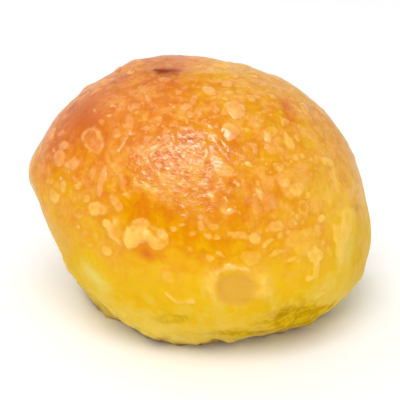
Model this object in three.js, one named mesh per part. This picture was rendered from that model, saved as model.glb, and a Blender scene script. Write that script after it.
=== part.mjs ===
// A small round bread roll with a leaning dome, baked on a flat sheet: one solid, in millimetres,
// +Z up, -Y to the front. The skin is a closed form in polar directions, given by a turn (degrees
// round from +X towards +Y) and a rise (degrees above the belly line).
import * as THREE from "three";
import { mergeVertices } from "three/addons/utils/BufferGeometryUtils.js";

// Dough body. Four values in a row go right (+X), back (+Y), left (-X), front (-Y).
const HEIGHT = 51.8;
const BELLY_RADIUS = [35.6, 33.4, 33.5, 34.9];
const BELLY_HEIGHT = [17.2, 17.8, 28.4, 19.1];
const FOOT_RADIUS = [23.2, 26.8, 26.0, 22.2];
const FULLNESS_ABOVE = 2.15; // 2 is an ellipse, more is squarer
const FULLNESS_BELOW = 2.05;
const CROWN_LEAN = -3.0; // how far the crown leans along X

// Soft swells (or, with a negative height in mm, hollows) of the dough. Half sizes in degrees.
const SWELLS = [
  { turn: 4, rise: 10, wide: 24, tall: 9, height: -0.5 }, // flat of the right belly
  { turn: -5, rise: 9, wide: 9, tall: 9, height: 0.2 }, // right belly, front
  { turn: -8, rise: -3, wide: 10, tall: 10, height: 0.45 }, // right belly, low
  { turn: -10, rise: -20, wide: 22, tall: 10, height: 1 }, // low right belly
  { turn: 8, rise: 36, wide: 12, tall: 9, height: 0.8 }, // right shoulder
  { turn: 7, rise: 36, wide: 5, tall: 4, height: -0.5 }, // small dip in the right shoulder
  { turn: 20, rise: 55, wide: 10, tall: 9, height: 0.8 }, // right shoulder, near the crown
  { turn: 62, rise: 67, wide: 5, tall: 4, height: -0.35 }, // small dip in the crown
  { turn: 88, rise: 66, wide: 30, tall: 12, height: 0.45 }, // full back of the crown
  { turn: 137, rise: 58, wide: 14, tall: 11, height: 0.75 }, // crown shoulder
  { turn: 130, rise: 61, wide: 5, tall: 4, height: -1 }, // step in the crown shoulder
  { turn: 154, rise: 52, wide: 9, tall: 8, height: -0.35 }, // below the crown shoulder
  { turn: 160, rise: 30, wide: 9, tall: 8, height: -0.5 }, // left shoulder
  { turn: 161, rise: 35, wide: 5, tall: 4, height: 0.6 }, // knob of the left shoulder
  { turn: 178, rise: 2, wide: 26, tall: 8, height: 2.2 }, // left cheek
  { turn: -164, rise: -2, wide: 5, tall: 4, height: -0.75 }, // dip in the left cheek
  { turn: 172, rise: -12, wide: 12, tall: 9, height: -0.85 }, // under the left cheek
  { turn: -168, rise: -27, wide: 24, tall: 11, height: -1.2 }, // tuck under the left cheek
  { turn: -169, rise: -41, wide: 4, tall: 3.5, height: -0.4 }, // notch of the tuck
  { turn: -150, rise: -42, wide: 14, tall: 10, height: -2.9 }, // tuck at the left of the foot
  { turn: -152, rise: -49, wide: 4, tall: 3.5, height: 1.2 }, // lump in that tuck
  { turn: -126, rise: -42, wide: 11, tall: 10, height: 0.2 }, // foot, front left
  { turn: -119, rise: -40, wide: 4, tall: 3.5, height: -0.3 }, // notch of the foot, front left
  { turn: -104, rise: -42, wide: 11, tall: 10, height: 1.1 }, // foot, front
  { turn: -110, rise: -41, wide: 4, tall: 3.5, height: -0.4 }, // notch of the foot, front
  { turn: -101, rise: -40, wide: 4, tall: 3.5, height: -0.4 }, // second notch of the foot, front
  { turn: -81, rise: -32, wide: 4, tall: 3.5, height: 0.6 }, // lump of the foot, front
  { turn: -74, rise: -42, wide: 11, tall: 10, height: -0.8 }, // foot, front right
  { turn: -64, rise: -28, wide: 4, tall: 3.5, height: -0.3 }, // notch of the foot, front right
  { turn: -44, rise: -42, wide: 11, tall: 10, height: 1.4 }, // foot, right corner
  { turn: -45, rise: -35, wide: 4, tall: 3.5, height: -0.6 }, // notch of the right corner
  { turn: -31, rise: -20, wide: 4, tall: 3.5, height: -1 }, // notch above the right corner
  { turn: -19, rise: -12, wide: 4, tall: 3.5, height: 0.5 }, // lump above the right corner
  { turn: -18, rise: -38, wide: 14, tall: 11, height: 2.4 }, // foot, right
  { turn: 60, rise: 14, wide: 18, tall: 14, height: 0.7 }, // back right cheek
  { turn: 118, rise: 18, wide: 18, tall: 12, height: -0.5 }, // hollow in the back
];

// Blisters and bubbles of the skin: half width and half height in mm, lean in degrees.
const BLISTERS = [
  { kind: "burst", turn: -80, rise: 0.3, wide: 5.6, tall: 4.6, lean: 4, height: 0.7 },
  { kind: "patch", turn: -137.5, rise: 32, wide: 2.7, tall: 2.3, lean: 8, height: 0.4 },
  { kind: "patch", turn: -107, rise: 11, wide: 4.2, tall: 2.4, lean: 20, height: 0.45 },
  { kind: "burst", turn: -119, rise: 8, wide: 1.8, tall: 2.4, lean: 10, height: 0.4 },
  { kind: "dome", turn: -122, rise: 1, wide: 1.6, tall: 1.2, lean: 38, height: 0.5 },
  { kind: "dome", turn: -127, rise: 11, wide: 1.9, tall: 1.2, lean: 28, height: 0.35 },
  { kind: "dome", turn: -147, rise: 7, wide: 1.9, tall: 1.4, lean: 31, height: 0.35 },
  { kind: "dome", turn: -150, rise: 19, wide: 2.4, tall: 1.6, lean: 9, height: 0.4 },
  { kind: "dome", turn: -142, rise: 21, wide: 2.4, tall: 1.2, lean: 26, height: 0.35 },
  { kind: "dome", turn: -138, rise: 57, wide: 2.1, tall: 1.3, lean: 23, height: 0.3 },
  { kind: "dome", turn: -125, rise: 46, wide: 2, tall: 1.2, lean: -51, height: 0.3 },
  { kind: "patch", turn: -36, rise: 9, wide: 2.5, tall: 5.2, lean: 8, height: 0.5 },
  { kind: "dome", turn: -51, rise: 6, wide: 1.7, tall: 1.6, lean: -12, height: 0.4 },
  { kind: "dome", turn: -57, rise: 14, wide: 2.8, tall: 1.7, lean: -9, height: 0.35 },
  { kind: "patch", turn: -53, rise: 31, wide: 3.6, tall: 3, lean: 7, height: 0.45 },
  { kind: "dome", turn: -52, rise: 29, wide: 1.9, tall: 1.4, lean: 3, height: 0.6 },
  { kind: "dome", turn: -52, rise: 23, wide: 1.6, tall: 1.3, lean: 0, height: 0.35 },
  { kind: "dome", turn: -64, rise: 27, wide: 1.8, tall: 1.5, lean: 48, height: 0.3 },
  { kind: "dome", turn: -64, rise: 19, wide: 1.8, tall: 1.2, lean: 12, height: 0.35 },
  { kind: "dome", turn: -63, rise: 59, wide: 2.4, tall: 1.9, lean: 58, height: 0.6 },
  { kind: "dome", turn: -72, rise: 51, wide: 2, tall: 1.7, lean: 86, height: 0.55 },
  { kind: "dome", turn: -75, rise: 69, wide: 1.7, tall: 1.4, lean: 86, height: 0.45 },
  { kind: "dome", turn: -52, rise: 49, wide: 1.8, tall: 1.2, lean: 4, height: 0.35 },
  { kind: "dome", turn: -46, rise: 44, wide: 2, tall: 1.3, lean: 75, height: 0.4 },
  { kind: "dome", turn: -31, rise: 33, wide: 2.2, tall: 1.2, lean: -24, height: 0.35 },
  { kind: "dome", turn: -16, rise: 50, wide: 3, tall: 1.3, lean: 19, height: 0.35 },
  { kind: "dome", turn: -74, rise: 10, wide: 2.1, tall: 1.6, lean: 8, height: 0.35 },
  { kind: "dome", turn: -77, rise: 17, wide: 2.3, tall: 1.2, lean: 2, height: 0.35 },
  { kind: "dome", turn: -89, rise: 19, wide: 1.2, tall: 1.5, lean: -9, height: 0.3 },
  { kind: "dome", turn: 167, rise: 63, wide: 2, tall: 1.4, lean: -67, height: 0.35 },
  { kind: "dent", turn: -56, rise: -14, wide: 7.5, tall: 2.6, lean: 6, height: -0.9 },
  { kind: "dent", turn: -64, rise: -10, wide: 2, tall: 1.5, lean: 0, height: -0.4 },
  { kind: "dent", turn: -101, rise: -17, wide: 3.6, tall: 1.3, lean: 4, height: -0.4 },
];
const SKIN_RADIUS = 34; // a blister's millimetres are turned into degrees at this radius
const SCATTER_TRIES = 120; // more blisters, spread by chance over the rest of the skin
const SCATTER_SEED = 4711;
const SCATTER_HALF_WIDTH = [1.4, 2.2];
const SCATTER_HEIGHT = [0.25, 0.45];
const SCATTER_LOWEST_RISE = -14;
const SCATTER_GAP = 1.6; // between two middles, in half widths of both
const SCATTER_CLEAR = [-165, -5]; // turns of the front, where every blister is placed by hand

// Slow unevenness of the whole skin.
const WAVES = [
  { along: [0.8, 0.5, 0.3], count: 5, height: 0.22, start: 0.4 },
  { along: [-0.3, 0.9, 0.4], count: 7, height: 0.18, start: 2.1 },
  { along: [0.5, -0.4, 0.8], count: 9, height: 0.14, start: 4.0 },
  { along: [0.9, -0.2, -0.5], count: 12, height: 0.1, start: 5.2 },
];

// Edge lengths of the faceted skin.
const FOOT_EDGE = 6.5;
const SKIN_EDGE = 3.0;
const BLISTER_EDGE = 1.3;
const BURST_EDGE = 0.9;
const BLISTER_MARGIN = 1.15; // in half sizes of the blister
const RIM_EDGE = 2.4;
const START_DETAIL = 4;
const REFINE_ROUNDS = 6;
const RIM_STEPS = 24;
const RIM_SNAP = 0.35;
const RIM_SEARCH = 4; // degrees up and down in which the rim is looked for

const NEARBY = 0.9; // cosine past which a direction is out of every blister's reach

const rad = THREE.MathUtils.degToRad;
const DEGREES = THREE.MathUtils.RAD2DEG;

// A value for any turn from the four given at right, back, left and front.
function around(four, turn) {
  const [right, back, left, front] = four;
  return (
    (right + back + left + front) / 4 +
    ((right - left) / 2) * Math.cos(turn) +
    ((back - front) / 2) * Math.sin(turn) +
    ((right + left - back - front) / 4) * Math.cos(2 * turn)
  );
}

function direction(turn, rise) {
  const flat = Math.cos(rad(rise));
  return new THREE.Vector3(
    flat * Math.cos(rad(turn)),
    flat * Math.sin(rad(turn)),
    Math.sin(rad(rise)),
  );
}

// A seeded source of chance between 0 and 1.
function chance(seed) {
  let state = seed;
  return () => {
    state = (state * 16807) % 2147483647;
    return state / 2147483647;
  };
}

// A swell or blister with its middle and its own two axes on the skin.
function placed(mark) {
  const middle = direction(mark.turn, mark.rise);
  const side = new THREE.Vector3(-Math.sin(rad(mark.turn)), Math.cos(rad(mark.turn)), 0);
  const up = new THREE.Vector3().crossVectors(middle, side);
  const c = Math.cos(rad(mark.lean ?? 0));
  const s = Math.sin(rad(mark.lean ?? 0));
  return {
    ...mark,
    middle,
    wideAxis: side.clone().multiplyScalar(c).addScaledVector(up, s),
    tallAxis: up.clone().multiplyScalar(c).addScaledVector(side, -s),
  };
}

// Spreads blisters by chance, clear of those placed by hand and of each other.
function scattered(given) {
  const next = chance(SCATTER_SEED);
  const between = ([low, high]) => low + (high - low) * next();
  const all = given.map(placed);
  for (let i = 0; i < SCATTER_TRIES; i++) {
    const turn = 360 * next() - 180;
    const rise = (180 / Math.PI) * Math.asin(2 * next() - 1);
    const half = between(SCATTER_HALF_WIDTH);
    const height = between(SCATTER_HEIGHT);
    const blister = { kind: "dome", turn, rise, wide: half, tall: half, lean: 0, height };
    const candidate = placed(blister);
    const crowded = all.some(
      (other) =>
        other.middle.angleTo(candidate.middle) * SKIN_RADIUS <
        SCATTER_GAP * (half + Math.max(other.wide, other.tall)) / 2,
    );
    const inFront = turn > SCATTER_CLEAR[0] && turn < SCATTER_CLEAR[1];
    if (rise > SCATTER_LOWEST_RISE && !crowded && !inFront) all.push(candidate);
  }
  return all;
}

const blisters = scattered(BLISTERS);
const swells = SWELLS.map(placed);
const waves = WAVES.map((wave) => ({ ...wave, along: new THREE.Vector3(...wave.along).normalize() }));

// Height of a blister of a kind, at a share of the way from its middle (0) to its edge (1).
const PROFILE = {
  dome: (q) => Math.max(0, 1 - q * q) ** 1.5,
  dent: (q) => Math.max(0, 1 - q * q) ** 1.5,
  patch: (q) => THREE.MathUtils.smoothstep(1 - q, 0, 0.45),
  burst: (q) =>
    Math.exp(-(((q - 0.8) / 0.2) ** 2)) - 0.7 * THREE.MathUtils.smoothstep(1 - q, 0.25, 0.7),
};

// How far a direction is from a mark's middle, in its own half sizes.
function reachOf(mark, dir, scale) {
  const across = dir.dot(mark.wideAxis) * scale;
  const along = dir.dot(mark.tallAxis) * scale;
  return Math.hypot(across / mark.wide, along / mark.tall);
}

// What the skin adds to the plain dough body along a direction.
function relief(dir) {
  let total = 0;
  for (const swell of swells) {
    if (dir.dot(swell.middle) < 0) continue;
    total += swell.height * Math.exp(-(reachOf(swell, dir, DEGREES) ** 2));
  }
  for (const wave of waves) {
    total += wave.height * Math.sin(wave.count * dir.dot(wave.along) + wave.start);
  }
  let raised = 0;
  for (const blister of blisters) {
    if (dir.dot(blister.middle) < NEARBY) continue;
    const height = blister.height * PROFILE[blister.kind](reachOf(blister, dir, SKIN_RADIUS));
    raised = height < 0 ? raised + height : Math.max(raised, height);
  }
  return total + raised;
}

// Where a direction from the belly line starts and how far the skin is along it.
function skinReach(dir) {
  const turn = Math.atan2(dir.y, dir.x);
  const flat = Math.hypot(dir.x, dir.y);
  const belly = around(BELLY_RADIUS, turn);
  const level = around(BELLY_HEIGHT, turn);
  const foot = around(FOOT_RADIUS, turn);
  const full = dir.z >= 0 ? FULLNESS_ABOVE : FULLNESS_BELOW;
  const depth = level / (1 - (foot / belly) ** full) ** (1 / full);
  const vertical = dir.z >= 0 ? HEIGHT - level : depth;
  const plain = ((flat / belly) ** full + (Math.abs(dir.z) / vertical) ** full) ** (-1 / full);
  return { turn, flat, level, out: plain + relief(dir) };
}

// How far below the sheet the skin would go along a direction.
function sunk(dir) {
  const { level, out } = skinReach(dir);
  return -(level + out * dir.z);
}

// The point of the skin along a direction, with the foot cut flat by the sheet.
function skinPoint(dir) {
  const { turn, flat, level, out } = skinReach(dir);
  const z = Math.max(0, level + out * dir.z);
  const radius = flat * (z > 0 ? out : level / -dir.z);
  return new THREE.Vector3(
    radius * Math.cos(turn) + (CROWN_LEAN * z) / HEIGHT,
    radius * Math.sin(turn),
    z,
  );
}

const edgesOf = ([a, b, c]) => [[a, b], [b, c], [c, a]];
const edgeKey = (a, b) => (a < b ? `${a} ${b}` : `${b} ${a}`);

// How long an edge of the skin may be around a point.
function wantedEdge(dir, point) {
  if (point.z === 0) return FOOT_EDGE;
  if (point.z < RIM_EDGE) return RIM_EDGE;
  const near = blisters.filter(
    (blister) =>
      dir.dot(blister.middle) > NEARBY && reachOf(blister, dir, SKIN_RADIUS) < BLISTER_MARGIN,
  );
  if (near.some((blister) => blister.kind === "burst")) return BURST_EDGE;
  return near.length ? BLISTER_EDGE : SKIN_EDGE;
}

// One round of splitting long edges. A triangle with any long edge also has its longest one split.
function refineOnce(dirs, triangles) {
  const points = dirs.map(skinPoint);
  const middles = new Map();
  const length = (a, b) => points[a].distanceTo(points[b]);
  const split = (a, b) => {
    if (middles.has(edgeKey(a, b))) return;
    middles.set(edgeKey(a, b), dirs.length);
    dirs.push(dirs[a].clone().add(dirs[b]).normalize());
  };
  for (const triangle of triangles) {
    for (const [a, b] of edgesOf(triangle)) {
      const mid = dirs[a].clone().add(dirs[b]).normalize();
      if (length(a, b) > wantedEdge(mid, skinPoint(mid))) split(a, b);
    }
  }
  for (let before = -1; before !== middles.size; ) {
    before = middles.size;
    for (const triangle of triangles) {
      const edges = edgesOf(triangle);
      if (!edges.some(([a, b]) => middles.has(edgeKey(a, b)))) continue;
      edges.sort((p, q) => length(...q) - length(...p));
      split(...edges[0]);
    }
  }
  return triangles.flatMap((triangle) => divided(triangle, middles));
}

// The smaller triangles of one whose edges may have new points.
function divided([a, b, c], added) {
  const middle = (p, q) => added.get(edgeKey(p, q));
  const turns = [[a, b, c], [b, c, a], [c, a, b]];
  const marked = turns.map(([p, q]) => middle(p, q) !== undefined);
  const count = marked.filter(Boolean).length;
  if (count === 0) return [[a, b, c]];
  if (count === 3) {
    const [ab, bc, ca] = turns.map(([p, q]) => middle(p, q));
    return [[a, ab, ca], [ab, b, bc], [ca, bc, c], [ab, bc, ca]];
  }
  if (count === 1) {
    const [p, q, r] = turns[marked.indexOf(true)];
    const m = middle(p, q);
    return [[p, m, r], [m, q, r]];
  }
  const [p, q, r] = turns[(marked.indexOf(false) + 1) % 3];
  const pq = middle(p, q);
  const qr = middle(q, r);
  return [[pq, q, qr], [p, pq, qr], [p, qr, r]];
}

// The direction of the foot's rim between one that ends in the sheet and one above it.
function rimBetween(inSheet, above) {
  let low = inSheet;
  let high = above;
  for (let step = 0; step < RIM_STEPS; step++) {
    const middle = low.clone().add(high).normalize();
    if (sunk(middle) > 0) low = middle;
    else high = middle;
  }
  return low;
}

// Makes the foot's rim one clean line of points: those near it move onto it, and each edge that
// crosses it is split there.
function withRim(dirs, triangles) {
  const sides = dirs.map((dir, i) => {
    const depth = sunk(dir);
    if (Math.abs(depth) > RIM_SNAP) return Math.sign(depth);
    const turn = DEGREES * Math.atan2(dir.y, dir.x);
    const rise = DEGREES * Math.asin(dir.z);
    dirs[i] = rimBetween(direction(turn, rise - RIM_SEARCH), direction(turn, rise + RIM_SEARCH));
    return 0;
  });
  const crossings = new Map();
  for (const [a, b] of triangles.flatMap(edgesOf)) {
    if (!(sides[a] > 0 && sides[b] < 0) || crossings.has(edgeKey(a, b))) continue;
    crossings.set(edgeKey(a, b), dirs.length);
    dirs.push(rimBetween(dirs[a], dirs[b]));
  }
  return triangles.flatMap((triangle) => divided(triangle, crossings));
}

function rollGeometry() {
  const ball = new THREE.IcosahedronGeometry(1, START_DETAIL);
  ball.deleteAttribute("normal");
  ball.deleteAttribute("uv");
  const start = mergeVertices(ball, 1e-4);
  const place = start.getAttribute("position");
  const dirs = Array.from({ length: place.count }, (_, i) =>
    new THREE.Vector3().fromBufferAttribute(place, i).normalize(),
  );
  const index = Array.from(start.index.array);
  let triangles = [];
  for (let i = 0; i < index.length; i += 3) triangles.push(index.slice(i, i + 3));
  for (let round = 0; round < REFINE_ROUNDS; round++) triangles = refineOnce(dirs, triangles);

  triangles = withRim(dirs, triangles);

  const geometry = new THREE.BufferGeometry();
  geometry.setFromPoints(dirs.map(skinPoint));
  geometry.setIndex(triangles.flat());
  geometry.computeBoundingBox();
  const middle = geometry.boundingBox.getCenter(new THREE.Vector3());
  geometry.translate(-middle.x, -middle.y, 0);
  geometry.computeVertexNormals();
  return geometry;
}

const crust = new THREE.MeshStandardMaterial({ color: 0xe9a436, roughness: 0.35 });
const roll = new THREE.Mesh(rollGeometry(), crust);
roll.name = "roll";

const group = new THREE.Group();
group.add(roll);
export default group;
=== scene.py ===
"""A small egg-washed bread roll: its blistered crust and a plain pale stage to see it on.

Sizes in the settings are metres, as Blender's are. The swells and blisters of the crust are listed
in millimetres, at a turn (degrees round from +X towards +Y) and a rise (degrees above the belly).
"""

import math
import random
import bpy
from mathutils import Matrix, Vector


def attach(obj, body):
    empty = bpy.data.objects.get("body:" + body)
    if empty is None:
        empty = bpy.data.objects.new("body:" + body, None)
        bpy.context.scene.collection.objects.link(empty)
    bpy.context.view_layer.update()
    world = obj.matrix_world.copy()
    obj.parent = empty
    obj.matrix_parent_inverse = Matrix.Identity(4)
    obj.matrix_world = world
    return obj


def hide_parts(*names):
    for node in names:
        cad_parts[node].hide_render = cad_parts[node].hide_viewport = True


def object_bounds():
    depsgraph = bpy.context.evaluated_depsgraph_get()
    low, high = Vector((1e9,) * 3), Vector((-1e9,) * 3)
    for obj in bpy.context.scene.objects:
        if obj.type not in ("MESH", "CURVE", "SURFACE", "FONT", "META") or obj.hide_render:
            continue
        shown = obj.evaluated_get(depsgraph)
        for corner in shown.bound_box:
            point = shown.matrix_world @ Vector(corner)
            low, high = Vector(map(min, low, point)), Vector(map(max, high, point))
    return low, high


bl_info = {
    "name": "Bread roll",
    "version": (1, 0, 0),
    "blender": (4, 5, 0),
    "location": "3D View > Sidebar > Bread roll",
    "description": "Makes a small glazed bread roll with a blistered crust, and a stage for it",
    "category": "Add Mesh",
}

from collections import namedtuple
from functools import partial

import bpy
import numpy as np
from bpy.props import FloatProperty, FloatVectorProperty, IntProperty, PointerProperty
from mathutils import Vector, noise

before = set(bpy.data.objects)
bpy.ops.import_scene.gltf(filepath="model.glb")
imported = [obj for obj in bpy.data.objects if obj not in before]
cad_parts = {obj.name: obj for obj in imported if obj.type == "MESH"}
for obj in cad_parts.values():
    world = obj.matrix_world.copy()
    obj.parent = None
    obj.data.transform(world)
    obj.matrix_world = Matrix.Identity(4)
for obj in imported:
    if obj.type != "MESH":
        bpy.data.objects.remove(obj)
CAD_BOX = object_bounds()

MM = 0.001

# ---------------------------------------------------------------- the dough's uneven form

# A soft-edged spot of the skin: half sizes in degrees, and how much it adds in its middle
Zone = namedtuple("Zone", "turn rise wide tall amount lean", defaults=[0])
SWELLS = [  # amounts in mm
    Zone(4, 10, 24, 9, -0.5),  # flat of the right belly
    Zone(-5, 9, 9, 9, 0.2),  # right belly, front
    Zone(-8, -3, 10, 10, 0.45),  # right belly, low
    Zone(-10, -20, 22, 10, 1),  # low right belly
    Zone(8, 36, 12, 9, 0.8),  # right shoulder
    Zone(7, 36, 5, 4, -0.5),  # small dip in the right shoulder
    Zone(20, 55, 10, 9, 0.8),  # right shoulder, near the crown
    Zone(62, 67, 5, 4, -0.35),  # small dip in the crown
    Zone(88, 66, 30, 12, 0.45),  # full back of the crown
    Zone(137, 58, 14, 11, 0.75),  # crown shoulder
    Zone(130, 61, 5, 4, -1),  # step in the crown shoulder
    Zone(154, 52, 9, 8, -0.35),  # below the crown shoulder
    Zone(160, 30, 9, 8, -0.5),  # left shoulder
    Zone(161, 35, 5, 4, 0.6),  # knob of the left shoulder
    Zone(178, 2, 26, 8, 2.2),  # left cheek
    Zone(-164, -2, 5, 4, -0.75),  # dip in the left cheek
    Zone(172, -12, 12, 9, -0.85),  # under the left cheek
    Zone(-168, -27, 24, 11, -1.2),  # tuck under the left cheek
    Zone(-169, -41, 4, 3.5, -0.4),  # notch of the tuck
    Zone(-150, -42, 14, 10, -2.9),  # tuck at the left of the foot
    Zone(-152, -49, 4, 3.5, 1.2),  # lump in that tuck
    Zone(-126, -42, 11, 10, 0.2),  # foot, front left
    Zone(-119, -40, 4, 3.5, -0.3),  # notch of the foot, front left
    Zone(-104, -42, 11, 10, 1.1),  # foot, front
    Zone(-110, -41, 4, 3.5, -0.4),  # notch of the foot, front
    Zone(-101, -40, 4, 3.5, -0.4),  # second notch of the foot, front
    Zone(-81, -32, 4, 3.5, 0.6),  # lump of the foot, front
    Zone(-74, -42, 11, 10, -0.8),  # foot, front right
    Zone(-64, -28, 4, 3.5, -0.3),  # notch of the foot, front right
    Zone(-44, -42, 11, 10, 1.4),  # foot, right corner
    Zone(-45, -35, 4, 3.5, -0.6),  # notch of the right corner
    Zone(-31, -20, 4, 3.5, -1),  # notch above the right corner
    Zone(-19, -12, 4, 3.5, 0.5),  # lump above the right corner
    Zone(-18, -38, 14, 11, 2.4),  # foot, right
    Zone(60, 14, 18, 14, 0.7),  # back right cheek
    Zone(118, 18, 18, 12, -0.5),  # hollow in the back
]

Wave = namedtuple("Wave", "along count height start")  # long, low waves through the dough, in mm
WAVES = [
    Wave((0.8, 0.5, 0.3), 5, 0.22, 0.4),
    Wave((-0.3, 0.9, 0.4), 7, 0.18, 2.1),
    Wave((0.5, -0.4, 0.8), 9, 0.14, 4.0),
    Wave((0.9, -0.2, -0.5), 12, 0.1, 5.2),
]

# ---------------------------------------------------------------- blisters of the crust

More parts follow.
